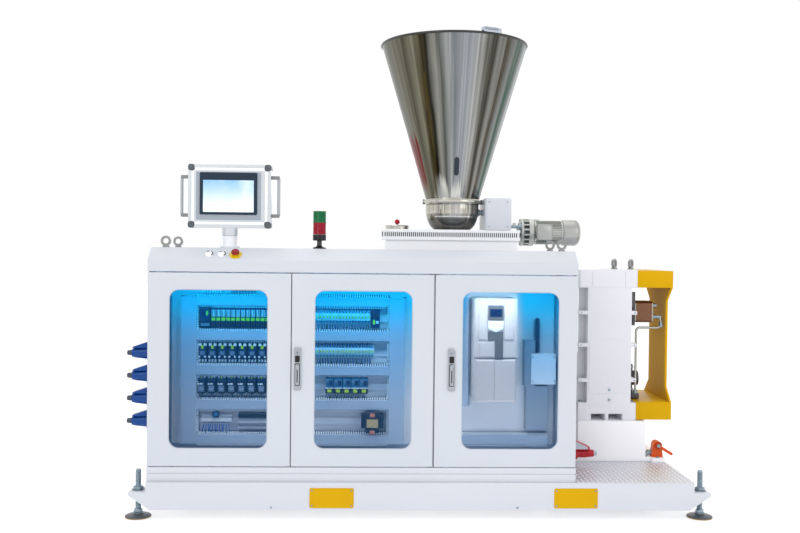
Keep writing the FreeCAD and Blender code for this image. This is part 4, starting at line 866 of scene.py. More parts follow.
class EXTRUDER_OT_ducts(bpy.types.Operator):
    """Slotted wiring ducts and the rails behind the devices"""
    bl_idname = "extruder.ducts"
    bl_label = "Wiring ducts"

    def execute(self, context):
        comb = context.scene.extruder_sizes.comb_pitch / MM
        left, right, front, back, low, high = extent("wiring_ducts")
        inner_left, outer_right = left + DUCT_WIDTH, extent("cabinet_posts")[1] - 166
        inner_right = outer_right - DUCT_WIDTH
        pitch = (high - low - DUCT_HEIGHT) / SHELVES
        floors = [low + row * pitch for row in range(SHELVES + 1)]
        runs = [(inner_left, inner_right, floor, floor + DUCT_HEIGHT, False) for floor in floors]
        runs += [(left, inner_left, low, high, True), (inner_right, outer_right, low, high, True),
                 (extent("inverter")[0] - 75, right, low, low + DUCT_HEIGHT, False)]
        covers, combs, gap_shadows, rails = (Shape() for _ in range(4))
        for x0, x1, z0, z1, upright in runs:
            slotted_duct(covers, combs, gap_shadows, x0, x1, z0, z1, back, back - front, comb, upright)
        make("duct_covers", covers, "duct_plastic", stands_for=("wiring_ducts",))
        make("duct_combs", combs, "duct_comb")
        # The strips behind the fingers take a painted shadow.
        make("duct_gaps", gap_shadows, "device_dark")
        for floor in floors[:-1]:
            middle = floor + (DUCT_HEIGHT + pitch) / 2
            for lift, half, deep, thin in ((-14, 3.5, 8, 6.5), (14, 3.5, 8, 6.5), (0, 10.5, 7, 0.5)):
                rails.box((inner_left + 4, inner_right - 4), (back - deep, back - thin),
                          (middle + lift - half, middle + lift + half), 0.3)
        make("mounting_rails", rails, "device_white")
        return {"FINISHED"}


class EXTRUDER_OT_devices(bpy.types.Operator):
    """Rows of relays, contactors, breakers and terminals with their wires, and the right bay's boxes"""
    bl_idname = "extruder.devices"
    bl_label = "Devices"

    def execute(self, context):
        sizes = context.scene.extruder_sizes
        left, _, front, back, low, high = extent("wiring_ducts")
        depth = back - front + 4
        pitch = (high - low - DUCT_HEIGHT) / SHELVES
        shelf = [high - DUCT_HEIGHT / 2 - (row + 0.5) * pitch for row in range(SHELVES)]
        start = left + DUCT_WIDTH
        second, last = start + 620, start + 945
        card, relay, breaker = sizes.card_pitch / MM, sizes.relay_pitch / MM, sizes.breaker_pitch / MM
        colours = {}
        fill_module(colours, "processor", start + 15, start + 75, shelf[0] - 51, shelf[0] + 60, back, depth)
        for kind, row, x0, x1, below, above, deep, width in (
                ("input_card", 0, start + 77, start + 495, 48, 54, depth, card),
                ("relay", 1, start + 5, start + 482, 57, 61, depth, relay),
                ("contactor", 2, start + 1, start + 480, 44, 63, depth, relay),
                ("earth_terminal", 3, start + 25, start + 189, 18, 34, 42, 10),
                ("terminal", 3, start + 222, start + 395, 44, 44, depth, sizes.terminal_pitch / MM),
                ("breaker", 0, second, last - 18, 26, 46, depth, breaker),
                ("breaker", 1, second, last + 4, 23, 43, depth, breaker),
                ("motor_breaker", 2, second + 68, last - 26, 33, 53, depth, 45)):
            fill_row(colours, kind, x0, x1, shelf[row] - below, shelf[row] + above, back, deep, width)
        for i in range(8):
            for kind, x, width, lift in (("earth_terminal", 20 + i * 14, 12, 6),
                                         ("terminal", 180 + i * 16, 14, 4)):
                fill_module(colours, kind, start + x, start + x + width, high + lift, high + 40, back, 40)
        fill_module(colours, "monitor", last - 14, last + 34, shelf[0] - 46, shelf[0] + 48, back, depth)
        self.transformer(colours, start + 105, last - 62, last + 58, back, shelf[3])
        wires, dark_wires = Shape(), Shape()
        for i in range(12):
            x = start + 40 + i * 12
            wires.tube([(x, back - 36, shelf[3] - 16), (x + (i % 3 - 1) * 5, back - 50, shelf[3] - 40),
                        (x + (i % 4 - 1.5) * 5, back - 42, shelf[3] - 66)], 2.2, 6)
        for row, x0, x1, drop, step in (
                (0, start + 80, start + 490, 52, 9), (1, start + 12, start + 478, 56, 11),
                (2, start + 10, start + 474, 46, 13), (0, second + 6, last - 22, 30, 9),
                (1, second + 6, last, 28, 9), (2, second + 76, last - 30, 36, 12)):
            middle, below, above = shelf[row], shelf[row] - pitch / 2 + 25, shelf[row] + pitch / 2 - 27
            for i in range(int((x1 - x0) / step)):
                x = x0 + i * step
                lean = ((i * 7 + row * 3) % 5 - 2) * 1.6
                (dark_wires if i % 3 else wires).tube(
                    [(x, back - 38, middle - drop), (x + lean, back - 48, (middle - drop + below) / 2),
                     (x + lean * 1.5, back - 42, below)], 1.6, 5)
                (dark_wires if i % 2 else wires).tube(
                    [(x, back - 36, middle + drop + 4), (x - lean, back - 46, above)], 1.6, 5)
        drive_left, drive_right = extent("inverter")[:2]
        box_left, box_right, box_step = drive_right + 104, drive_right + 192, low + 316
        plate_low, plate_high = 630, 796
        colours["box_blue"] = Shape().box((box_left - 31, box_right), (back - 60, back),
                                          (low + 79, box_step + 3), 2)
        colours["box_blue"].box((box_left - 42, box_left + 16), (back - 60, back), (box_step, 867), 2)
        plate = Shape().box((box_left - 6, box_right + 40), (back - 66, back - 62), (plate_low, plate_high),
                            1.2)
        plate.box((box_left, box_right + 34), (back - 62, back), (plate_low + 4, plate_high - 4), 1)
        screws = Shape().cap_screws((box_left + 2, box_left + 120), (back - 66,),
                                    (plate_low + 18, plate_high - 18), FRONT, 4)
        busbar = Shape()
        slotted_duct(busbar, busbar, busbar, drive_left - 57, drive_left - 9, 506, 1096, back, 58,
                     sizes.comb_pitch / MM, True)
        side = extent("cabinet_side_left")[1]
        # A dark sheet on the inner side wall: painted shade where the wall lies in shade.
        shade_sheet = Shape().box((side - 0.5, side + 2), (front - 100, back - 2), (low - 60, high - 80), 1)
        make("side_liner", shade_sheet, "liner_blue")
        loom_x, loom_y = drive_right + 132, back - 34
        loom = Shape().tube([(loom_x + 15 * math.cos(i * 0.7), loom_y + 15 * math.sin(i * 0.7),
                              800 + i * 1.45) for i in range(126)], 3.4, 6)
        core = Shape().tube([(loom_x, loom_y, z) for z in (plate_high, 988)], 7, 10)
        make("module_bodies", colours.pop("black"), "device_plastic", stands_for=("device_rows",))
        for colour, shape in colours.items():
            make("module_" + colour, shape, "device_" + colour)
        make("wires_blue", wires, "wire_blue")
        make("wires_dark", dark_wires, "device_plastic")
        make("cover_plate", plate, "device_white")
        make("cover_plate_screws", screws, "zinc_steel")
        make("busbar_duct", busbar, "duct_plastic")
        make("spiral_loom", loom, "device_navy")
        make("loom_core", core, "device_navy")
        return {"FINISHED"}

    def transformer(self, colours, knob_x, left, right, back, z):
        """The last shelf's round switch and its transformer with a brass plate and copper terminals."""
        colours["navy"].turned([(0, 0), (20, 0), (20, 8), (16, 12), (0, 12)], (knob_x, back - 40, z + 40),
                               FRONT, 28)
        colours["teal"].turned([(0, 0), (11, 0), (11, 5), (0, 6)], (knob_x, back - 52, z + 40), FRONT, 20)
        colours["black"].box((left, right), (back - 70, back), (z - 30, z + 42), 4)
        colours["black"].box((left + 22, right - 22), (back - 92, back), (z - 52, z + 62), 6)
        colours["brass_plate"] = Shape().box((left + 30, right - 30), (back - 95, back - 90),
                                             (z - 22, z + 22), 1)
        colours["copper_stud"] = Shape()
        for lift in (-48, 44):
            colours["copper_stud"].boxed(((left + right) / 2, back - 92, z + lift), (26, 8, 20), 2)


class EXTRUDER_OT_inverter(bpy.types.Operator):
    """Frequency drive with its keypad, covers and seams"""
    bl_idname = "extruder.inverter"
    bl_label = "Frequency drive"

    def execute(self, context):
        left, right, front, back, low, high = extent("inverter")
        body, dark, glass, pad, grille = (Shape() for _ in range(5))
        body.box((left + 6, right - 6), (front + 26, back), (low, high), 6)
        body.box((left + 2, right - 2), (front + 8, front + 60), (low + 232, high), 8)
        body.box((left + 10, right - 10), (front + 10, front + 60), (low + 4, low + 229), 5)
        middle = (left + right) / 2 - 1
        panel_left, panel_right = middle - 42, middle + 38
        for x0, x1, step, z0, z1 in ((left + 24, panel_left - 5, 3, low + 330, high - 22),
                                     (panel_right + 5, right - 24, 3, low + 330, high - 22),
                                     (left + 30, panel_left + 32, 6, low + 240, low + 318),
                                     (left + 14, middle - 7, 6, low + 10, low + 222),
                                     (middle - 4, right - 14, 6, low + 10, low + 222)):
            body.box((x0, x1), (front + step, front + 20), (z0, z1), 3)
        for z, side in product((low + 90, low + 250, low + 400), (left + 1, right - 7)):
            body.box((side, side + 6), (front + 40, front + 80), (z, z + 30), 1.5)
        dark.plate(80, 78, 7, 9, (middle - 2, front + 9, high - 74))
        dark.box((panel_left, panel_right), (front + 4, front + 16), (low + 324, low + 372), 1.5)
        dark.box((panel_left + 37, panel_right), (front + 4, front + 16), (low + 233, low + 326), 1.5)
        glass.plate(62, 41, 2, 3, (middle - 2, front + 1, high - 74))
        hexagon = [(39, 28), (-39, 28), (-39, -12), (0, -32), (39, -12)]
        pad.slab(hexagon, 8, facing((middle - 2, front + 8, high - 144)))
        for dx, dz in ((-22, 4), (22, 4), (0, 12), (0, -12), (-22, -10), (22, -10)):
            pad.plate(14, 8, 3.5, 3, (middle - 2 + dx, front + 1, high - 140 + dz))
        screws = Shape().cap_screws((left + 26, right - 26), (front + 10,), (low + 14,), FRONT, 4)
        for i in range(12):
            grille.box((left + 30 + i * 15, left + 38 + i * 15), (front + 70, back - 30),
                       (high - 2, high - 0.2), 0.5)
        make("inverter_body", body, "drive_plastic", stands_for=("inverter",))
        make("inverter_keypad", dark, "keypad_grey")
        make("inverter_display", glass, "device_screen")
        make("inverter_buttons", pad, "device_white")
        make("inverter_screws", screws, "zinc_steel")
        make("inverter_grille", grille, "device_slate")
        return {"FINISHED"}


class EXTRUDER_OT_doors(bpy.types.Operator):
    """Rubber seals round the windows and stiffeners behind the doors"""
    bl_idname = "extruder.doors"
    bl_label = "Door trim"

    def execute(self, context):
        seal, corner = context.scene.extruder_sizes.seal_width / MM, 49.7
        for side in ("left", "middle", "right"):
            door = "door_" + side
            x0, x1, _, _, z0, z1 = extent("window_" + side)
            outer, inner = (rounded_outline(x1 - x0 - d, z1 - z0 - d, corner - d / 2, 10) for d in (0, seal))
            place = facing(((x0 + x1) / 2, extent(door)[2] + 2.4, (z0 + z1) / 2))
            make("window_seal_" + side, Shape().ring(outer, inner, 1.8, place), "seal_rubber", door)
            x0, x1, _, y1, z0, z1 = extent(door)
            stiffener = Shape()
            for x in (x0 + 14, x1 - 30):
                stiffener.box((x, x + 16), (y1 - 0.5, y1 + 1.8), (z0 + 30, z1 - 30), 0.5)
            make("door_stiffeners_" + side, stiffener, "cabinet_paint", door)
        return {"FINISHED"}


class EXTRUDER_OT_handles(bpy.types.Operator):
    """Two lock handles with their insets and key barrels"""
    bl_idname = "extruder.handles"
    bl_label = "Door handles"

    def execute(self, context):
        for side in ("middle", "right"):
            x0, x1, _, back, z0, z1 = extent("handle_" + side)
            middle, rise = (x0 + x1) / 2, (z0 + z1) / 2
            base, dark = Shape(), Shape()
            base.plate(x1 - x0, z1 - z0, 8, 10, (middle, back, rise), edge=2)
            base.plate(20, 104, 6, 8.5, (middle, back - 10, rise - 28), edge=2.5)
            base.turned([(0, 0), (9, 0), (9, 5), (7.5, 6.5), (3, 6.5), (2.6, 4), (0, 4)],
                        (middle, back - 10, z1 - 24), FRONT, 24)
            dark.plate(26, 112, 7, 0.9, (middle, back - 9.6, rise - 28), edge=0.3)
            dark.plate(24, 34, 5, 0.9, (middle, back - 9.6, z1 - 56), edge=0.3)
            dark.plate(3, 9, 1.4, 1.2, (middle, back - 16, z1 - 24), edge=0.2)
            dark.plate(5, 64, 2.4, 0.9, (middle, back - 18.1, rise - 34), edge=0.2)
            make("handle_lock_" + side, base, "handle_metal", "door_" + side, ("handle_" + side,))
            make("handle_inset_" + side, dark, "button_plastic", "door_" + side)
        return {"FINISHED"}


class EXTRUDER_OT_feet(bpy.types.Operator):
    """Four levelling feet with threaded studs, nuts and rimmed pads"""
    bl_idname = "extruder.feet"
    bl_label = "Levelling feet"

    def execute(self, context):
        sizes = context.scene.extruder_sizes
        x0, x1, y0, y1, _, top = extent("levelling_feet")
        pads, rims, studs = Shape(), Shape(), Shape()
        pitch = sizes.thread_pitch / MM
        thread = [(0, 20)]
        for i in range(int((top - 24) / pitch)):
            thread += [(13.9, 22 + i * pitch), (12.5, 22 + (i + 0.5) * pitch)]
        thread += [(12.0, top), (0, top)]
        for x in (x0 + 65, x1 - 65):
            for y in (y0 + 64.8, y1 - 64.8):
                at = (x, y, 0)
                rims.turned([(0, 0), (60, 0), (64.5, 1.5), (64.5, 4.5), (0, 4.5)], at, steps=48)
                pads.turned([(0, 4.5), (64, 4.5), (64, 8), (60, 10.5), (34, 14), (25, 18), (22, 24), (0, 24)],
                            at, steps=48)
                studs.turned(thread, at, steps=24)
                for low, size in ((24, 21), (137.2, 26)):
                    studs.turned([(0, low), (size * 1.2, low), (size * 1.2, low + 2.5), (0, low + 2.5)], at,
                                 steps=32)
                    studs.turned([(0, low + 2.5), (size * 0.9, low + 2.5), (size, low + 4), (size, low + 15),
                                  (size * 0.88, low + 18), (0, low + 18)], at, steps=6)
        make("foot_studs", studs, "zinc_steel", stands_for=("levelling_feet",), limit=28)
        make("foot_pads", pads, "foot_iron")
        make("foot_rims", rims, "device_brass")
        return {"FINISHED"}


class EXTRUDER_OT_skid(bpy.types.Operator):
    """Yellow fork-pocket covers with screws, bolts along the beams and the tread of the deck"""
    bl_idname = "extruder.skid"
    bl_label = "Skid trim"

    def execute(self, context):
        sizes = context.scene.extruder_sizes
        x0, x1, y0, y1, z0, z1 = extent("pocket_covers")
        covers, screws, beam_bolts = Shape(), Shape(), Shape()
        middle = (z0 + z1) / 2
        for x, (side, y) in product((x0 + 110, x1 - 110), ((-1, y0 + 4), (1, y1 - 4))):
            covers.plate(220, z1 - z0, 7, 2.8, (x, y, middle), (0, side, 0), 1.4)
            screws.cap_screws((x - 98, x + 98), (y + 1.6 * side,), (middle - 38, middle + 38), (0, side, 0),
                              sizes.screw_size / MM)
        beam = extent("base_beam_front")
        for x, way in product((-753, 477), (FRONT, REAR)):
            beam_bolts.bolt((x, -beam[2] * way[1], beam[4] + 14), way, 4.5)
        make("cover_plates", covers, "signal_yellow", stands_for=("pocket_covers",))
        make("cover_screws", screws, "zinc_steel")
        make("beam_bolts", beam_bolts, "zinc_steel")
        left, right, front, back, _, top = extent("deck_plate")
        pedestal = extent("gearbox_pedestal")
        pitch, long = sizes.tread_pitch / MM, sizes.tread_length / MM
        tread = Shape()
        row = 0
        y = front + 12
        while y < back - 12:
            column = 0
            x = left + 14
            while x < right - 10:
                if not (pedestal[0] - 14 < x and pedestal[2] - 14 < y < pedestal[3] + 14):
                    turn = math.radians(45 if (row + column) % 2 else -45)
                    place = Matrix.Translation((x, y, top - 0.4)) @ Matrix.Rotation(turn, 4, "Z")
                    points = [(sx * long / 2 * s, sy * 4.6 * s, h) for s, h in ((1, 0), (0.6, 2.5))
                              for sx, sy in ((1, 0), (0, 1), (-1, 0), (0, -1))]
                    faces = [(3, 2, 1, 0), (4, 5, 6, 7)] + [(i, (i + 1) % 4, 4 + (i + 1) % 4, 4 + i)
                                                             for i in range(4)]
                    tread.add(points, faces, place)
                x += pitch
                column += 1
            y += pitch
            row += 1
        # The lozenges take painted highlights.
        make("deck_tread", tread, "tread_bright")
        return {"FINISHED"}


class EXTRUDER_OT_hopper(bpy.types.Operator):
    """Polished hopper with its rolled rim, seam, sight slot, clamp, bowl, bearing and rim sensor"""
    bl_idname = "extruder.hopper"
    bl_label = "Hopper"

    def execute(self, context):
        x0, x1, y0, y1, foot, rim_z = extent("hopper_cone")
        bowl_z, top_z = extent("hopper_bowl")[4:]
        cx, cy = (x0 + x1) / 2, (y0 + y1) / 2
        rim, throat, height = (x1 - x0) / 2 - 7, 152.0, rim_z - foot
        cone, bead, seam, slot, glass = Shape(), Shape(), Shape(), Shape(), Shape()
        rise = height - 7
        cone.turned([(throat, 0), (rim, rise), (rim - 3, rise), (throat - 3, 0), (throat, 0)], (cx, cy, foot),
                    steps=128)
        lining = Shape().turned([(throat - 3.1, 0.5), (rim - 3.1, rise - 0.5), (rim - 3.6, rise - 0.5),
                                 (throat - 3.6, 0.5), (throat - 3.1, 0.5)], (cx, cy, foot), steps=128)
        ring = [(rim + 6.9 * math.cos(t * math.pi / 6), rise + 6.9 * math.sin(t * math.pi / 6))
                for t in range(13)]
        bead.turned(ring, (cx, cy, foot), steps=128)

        def on_cone(share, angle, out=0.0):
            """A point on the sheet, by its share of the way up and its angle from the front."""
            radius = throat + (rim - throat) * share + out
            return Vector((cx + radius * math.sin(angle), cy - radius * math.cos(angle), foot + rise * share))

        for angle in (-0.16, 1.41):
            seam.tube([on_cone(i / 20, angle, 0.2) for i in range(21)], 1.6, 8)
        middle, share = on_cone(0.2, 0.02), 0.2
        up = (on_cone(share + 0.05, 0.02) - on_cone(share - 0.05, 0.02)).normalized()
        across = Vector((math.cos(0.02), math.sin(0.02), 0))
        place = Matrix.Translation(middle) @ Matrix((across, up, across.cross(up))).transposed().to_4x4()
        slot.slab(rounded_outline(29, 104, 14.4, 8), 3.4, place, 1.2)
        glass.slab(rounded_outline(20, 94, 9.9, 8), 4.4, place, 0.8)
        make("hopper_sheet", cone, "polished_stainless", stands_for=("hopper_cone",), limit=40)
        make("hopper_lining", lining, "bright_steel", limit=40)
        make("hopper_rim", bead, "dark_steel")
        make("hopper_seams", seam, "polished_stainless")
        make("sight_frame", slot, "dark_steel")
        make("sight_glass", glass, "screen_front")
        bowl, clamp, latch = Shape(), Shape(), Shape()
        base, drop = 90, 124

        def curve(wall):
            """The bowl's section from its waist to its foot, a wall thickness inside the outer one."""
            line = [(throat - wall, top_z - 4), (throat - wall, bowl_z + drop)]
            for angle in (math.radians(degrees) for degrees in range(6, 91, 6)):
                line.append((base - wall + (throat - base) * math.cos(angle),
                             bowl_z + drop * (1 - math.sin(angle))))
            return line

        bowl.turned(curve(0) + curve(3)[::-1] + curve(0)[:1], (cx, cy, 0), steps=96)
        clamp.turned([(throat, top_z - 29), (throat + 9, top_z - 28), (throat + 12, top_z - 22),
                      (throat + 18, top_z - 20), (throat + 18.5, top_z - 14), (throat + 18, top_z - 8),
                      (throat + 12, top_z - 6), (throat + 9, top_z - 1), (throat, top_z),
                      (throat, top_z - 29)], (cx, cy, 0), steps=96)
        for angle in (-1.45, 1.45):
            way = Vector((math.sin(angle), -math.cos(angle), 0))
            place = facing(Vector((cx, cy, top_z - 16)) + way * (throat + 9), way)
            latch.slab(rounded_outline(26, 24, 4), 9, place, 1.5)
            latch.turned([(0, -14), (4.5, -14), (4.5, 14), (0, 14)], Vector((cx, cy, top_z - 15)) + way
                         * (throat + 15), steps=16)
        x_end = extent("drive_box")[0]
        shaft_z = bowl_z + 102
        bearing = Shape().turned([(0, 0), (26, 0), (26, 4), (20, 5), (19, 12), (11, 13), (11, 30),
                                  (0, 30)], (cx + throat - 6, cy, shaft_z), RIGHT, 40)
        bearing.turned([(0, 0), (17, 0), (17, 6), (13, 7), (13, 11), (0, 11)], (x_end, cy, shaft_z), LEFT, 32)
        bearing.tube([(cx + throat, cy, shaft_z), (x_end + 2, cy, shaft_z)], 8, 24)
        bearing.bolt_circle((cx + throat - 2, cy, shaft_z), RIGHT, 21.5, 4, 2.6, 45)
        make("hopper_bowl_sheet", bowl, "polished_stainless", stands_for=("hopper_bowl",), limit=40)
        make("hopper_clamp", clamp, "bright_steel")
        make("clamp_latches", latch, "dark_steel")
        make("stirrer_shaft", bearing, "zinc_steel")
        angle = math.radians(66)
        spot = Vector((cx + rim * math.cos(angle), cy - rim * math.sin(angle), rim_z - 7))
        turn = Matrix.Translation(spot) @ Matrix.Rotation(math.radians(24), 4, "Z")
        box, cap = Shape(), Shape()
        box.box((-55, 38), (-15.5, 15.5), (8.5, 31), 4, turn)
        box.box((-55, 54), (-15.5, -12.4), (2, 26), 1, turn)
        box.box((-55, 54), (12.4, 15.5), (2, 26), 1, turn)
        cap.box((38, 54), (-12, 12), (10, 28), 3, turn)
        cap.turned([(0, 0), (5, 0), (5, 2.6), (0, 2.6)], turn @ Vector((-34, 0, 31)), steps=20)
        make("level_sensor", box, "gland_grey", stands_for=("rim_sensor",))
        make("sensor_cap", cap, "pump_iron")
        return {"FINISHED"}


class EXTRUDER_OT_feeder(bpy.types.Operator):
    """Slotted feeder hood, steel access lid with a red ball, and the drive box's screws"""
    bl_idname = "extruder.feeder"
    bl_label = "Feeder"

    def execute(self, context):
        x0, x1, y0, y1, z0, z1 = extent("feeder_hood")
        hood, dark = Shape(), Shape()
        slot_low, slot_high, first, pitch, width = z0 + 20, z0 + 44, x0 + 15, 11.4, 6.0
        hood.box((x0, x1), (y0, y1), (slot_high, z1), 2.5)
        hood.box((x0, x1), (y0, y1), (z0, slot_low), 1.5)
        count = int((x1 - x0 - 30) / pitch) + 1
        for front, back in ((y0, y0 + 6), (y1 - 6, y1)):
            hood.box((x0, first), (front, back), (slot_low - 1, slot_high + 1), 0.4)
            for i in range(count):
                left = first + i * pitch + width
                right = left + pitch - width if i < count - 1 else x1
                hood.box((left, right), (front, back), (slot_low - 1, slot_high + 1), 0.4)
        hood.box((x0, x0 + 6), (y0, y1), (slot_low - 1, slot_high + 1), 0.4)
        hood.box((x1 - 6, x1), (y0, y1), (slot_low - 1, slot_high + 1), 0.4)
        # A dark block inside the hood: painted shade seen through the slots.
        dark.box((x0 + 14, x1 - 14), (y0 + 9, y1 - 9), (slot_low - 2, slot_high + 2), 1)
        make("hood_shell", hood, "feeder_paint", stands_for=("feeder_hood",))
        make("hood_inside", dark, "device_dark")
        x0, _, y0, y1, z0, _ = extent("access_lid")
        at = (x0 + 70.5, (y0 + y1) / 2, z0)
        lid, ball = Shape(), Shape()
        lid.turned([(0, 0), (70, 0), (70, 4), (66, 5), (66, 15), (70, 16), (70.4, 21), (68, 24), (58, 24.5),
                    (54, 22), (0, 22)], at, steps=64)
        lid.turned([(0, 22), (12, 22), (11, 26), (6, 28), (5.5, 36), (0, 36)], at, steps=24)
        ball.turned([(15 * math.sin(math.pi * i / 14), 44 - 15 * math.cos(math.pi * i / 14))
                     for i in range(15)], at, steps=32)
        make("lid_disc", lid, "bright_steel", stands_for=("access_lid",))
        make("lid_ball", ball, "ball_red", limit=60)
        x0, x1, y0, y1, z0, z1 = extent("drive_box")
        screws = Shape()
        size = context.scene.extruder_sizes.screw_size / MM
        for y, way in ((y0 + 0.5, FRONT), (y1 - 0.5, REAR)):
            screws.cap_screws((x0 + 24, x1 - 24), (y,), (z0 + 20, z1 - 22), way, size * 0.8)
        screws.bolt(((x0 + x1) / 2 + 38, (y0 + y1) / 2, z1 - 0.5), UP, 6)
        make("drive_box_screws", screws, "zinc_steel")
        return {"FINISHED"}


class EXTRUDER_OT_gearmotor(bpy.types.Operator):
    """Feeder gearmotor: bolted reducer, finned body, terminal box and domed cowl"""
    bl_idname = "extruder.gearmotor"
    bl_label = "Feeder gearmotor"

    def execute(self, context):
        x0, _, front, back, low, _ = extent("feeder_motor")
        y, z = back - 80, low + 80
        body, dark, bolts, plate = Shape(), Shape(), Shape(), Shape()

        def ring(profile, steps=64, shape=body):
            """Turn a profile about the motor's axis."""
            shape.turned(profile, (x0, y, z), RIGHT, steps)

        ring([(0, 0), (26, 0), (26, 4), (19, 5), (19, 15), (30, 17), (0, 17)], 40, bolts)
        ring([(0, 17), (77, 17), (79.5, 19), (79.5, 30), (77, 32), (0, 32)])
        shaded = Shape()
        ring([(0, 32), (66, 32), (66, 62), (0, 62)], 48, shaded)
        ring([(0, 62), (77, 62), (79, 64), (79, 88), (76, 92), (62, 97), (0, 97)])
        body.fins((x0, y, z), 16, (30, 64), 5, 58, 78, 1.5, 11.25)
        bolts.bolt_circle((x0 + 17, y, z), LEFT, 69, 8, 5)
        bolts.bolt_circle((x0 + 33, y, z), RIGHT, 69 * 1.02, 8, 5)
        ring([(0, 96), (61, 97), (61, 260), (0, 260)])
        for start, end in ((96, 106), (248, 259)):
            ring([(0, start), (67.5, start + 1), (67.5, end), (0, end)])
        pitch = max(8.0, context.scene.extruder_sizes.fin_pitch / MM)
        body.fins((x0, y, z), int(2 * math.pi * 65 / pitch), (104, 252), 1.3, 58, 68.5, 0.5)
        dome = [(74.8 - 32 * (1 - math.cos(math.radians(a))), 326.8 + 32 * math.sin(math.radians(a)))
                for a in range(0, 91, 10)]
        ring([(0, 259), (72, 259), (74.8, 261)] + dome + [(0, 358.8)], 72, plate)
        # Dark rings on the cowl's end: painted shade for the openings of its grille.
        for k in range(4):
            radius = 14 + k * 10
            ring([(radius, 358), (radius + 4, 358), (radius + 4, 358.9), (radius, 358.9), (radius, 358)], 40,
                 dark)
        bx, by = x0 + 145, front
        body.box((bx - 43, bx + 43), (by + 9, by + 59), (z - 43, z + 43), 5)
        plate.plate(88, 88, 9, 9, (bx, by + 9.2, z), edge=2)
        plate.plate(70, 70, 6, 1.4, (bx, by + 1.2, z), edge=0.7)
        bolts.cap_screws((bx - 37, bx + 37), (by + 1.4,), (z - 37, z + 37), FRONT, 3.6)
        bolts.turned([(0, 0), (9, 0), (9, 8), (7, 9), (7, 16), (0, 16)], (bx + 18, by + 34, z - 42), DOWN, 6)
        body.box((x0 + 100, x0 + 128), (y - 9, y + 9), (z + 60, z + 76), 3)
        arm_x = extent("drive_box")[1]
        bolts.turned([(0, 0), (17, 0), (17, 5), (10, 6), (10, x0 + 12 - arm_x), (15, x0 + 13 - arm_x),
                      (15, x0 + 19 - arm_x), (0, x0 + 19 - arm_x)], (arm_x - 0.5, y - 62, z + 30), RIGHT, 28)
        body.box((arm_x + 18, arm_x + 34), (y - 71, y - 53), (z + 22, z + 52), 2)
        make("gearmotor_body", body, "silver_paint", stands_for=("feeder_motor",))
        make("gearmotor_cowl", plate, "cowl_paint")
        make("gearmotor_grille", dark, "device_dark")
        make("gearmotor_recesses", shaded, "reducer_shade")
        make("gearmotor_bolts", bolts, "zinc_steel")
        return {"FINISHED"}


class EXTRUDER_OT_gearbox(bpy.types.Operator):
    """Cover plates, bolts, oil plugs and web of the gearbox, bolts of its pedestal and a painted shade sheet
    on the guard's inner face
    """
    bl_idname = "extruder.gearbox"
    bl_label = "Gearbox trim"

    def execute(self, context):
        sizes = context.scene.extruder_sizes
        x0, x1, y0, y1, z0, z1 = extent("gearbox")
        seam = sizes.seam_width / MM
        covers, bolts = Shape(), Shape()
        for side, y in ((-1, y0), (1, y1)):
            cuts = [x0 + 4, x0 + 72, x1 - 70, x1 - 4]
            for left, right in zip(cuts, cuts[1:]):
                covers.plate(right - left - seam, 94, 4, 2.2, ((left + right) / 2, y, z1 - 51), (0, side, 0),
                             0.9)
            covers.plate(224, 300, 10, 2, ((x0 + x1) / 2 + 10, y, z0 + 300), (0, side, 0), 0.9)
            for rise in (114, 170):
                bolts.turned([(0, 0), (8, 0), (8, 2), (6.5, 3), (6.5, 5), (0, 5)],
                             ((x0 + x1) / 2 + 12, y + side, z0 + rise), (0, side, 0), 6)
            bolts.cap_screws((x0 + 14, x1 - 12), (y,), (z0 + 223, z0 + 418, z0 + 598), (0, side, 0), 3.6)
        for x, run in product((x0 + 22, x1 - 14), (40, 160, 300, 430)):
            bolts.bolt((x, y0 + run, z0 + 98), UP, 9)
        web = Shape().box((x0 + 2, x0 + 50), (y0 + 50, y0 + 56), (z0 + 97, z1 - 101), 1)
        make("gearbox_web", web, "web_shade")
        make("gearbox_covers", covers, "gearbox_paint")
        make("gearbox_bolts", bolts, "zinc_steel")
        _, gx1, gy0, gy1, gz0, gz1 = extent("rear_guard")
        low, high, inset, taper = gz0 + 98.5, gz1 - 94.5, 85.6, 76
        outline = [(gy0 + 0.8, low), (gy1 - 0.8, low), (gy1 - inset, low + taper),
                   (gy1 - inset, high - taper), (gy1 - 0.8, high), (gy0 + 0.8, high),
                   (gy0 + inset, high - taper), (gy0 + inset, low + taper)]
        across = Matrix(((0, 0, 1), (1, 0, 0), (0, 1, 0))).to_4x4()
        # A darker yellow sheet on the guard's inner face: painted shade where the inside of the guard lies in
        # shade.
        shade_sheet = Shape().slab(outline, 1.6, Matrix.Translation((gx1 - 13.4, 0, 0)) @ across, 0.3)
        make("guard_liner", shade_sheet, "guard_shade")
        px0, px1, py0, _, pz0, _ = extent("gearbox_pedestal")
        foot = Shape()
        for x in (px0 + 30, px0 + 76, px1 - 44):
            foot.bolt((x, py0 + 12, pz0 + 23), UP, 8)
        make("pedestal_bolts", foot, "zinc_steel")
        return {"FINISHED"}


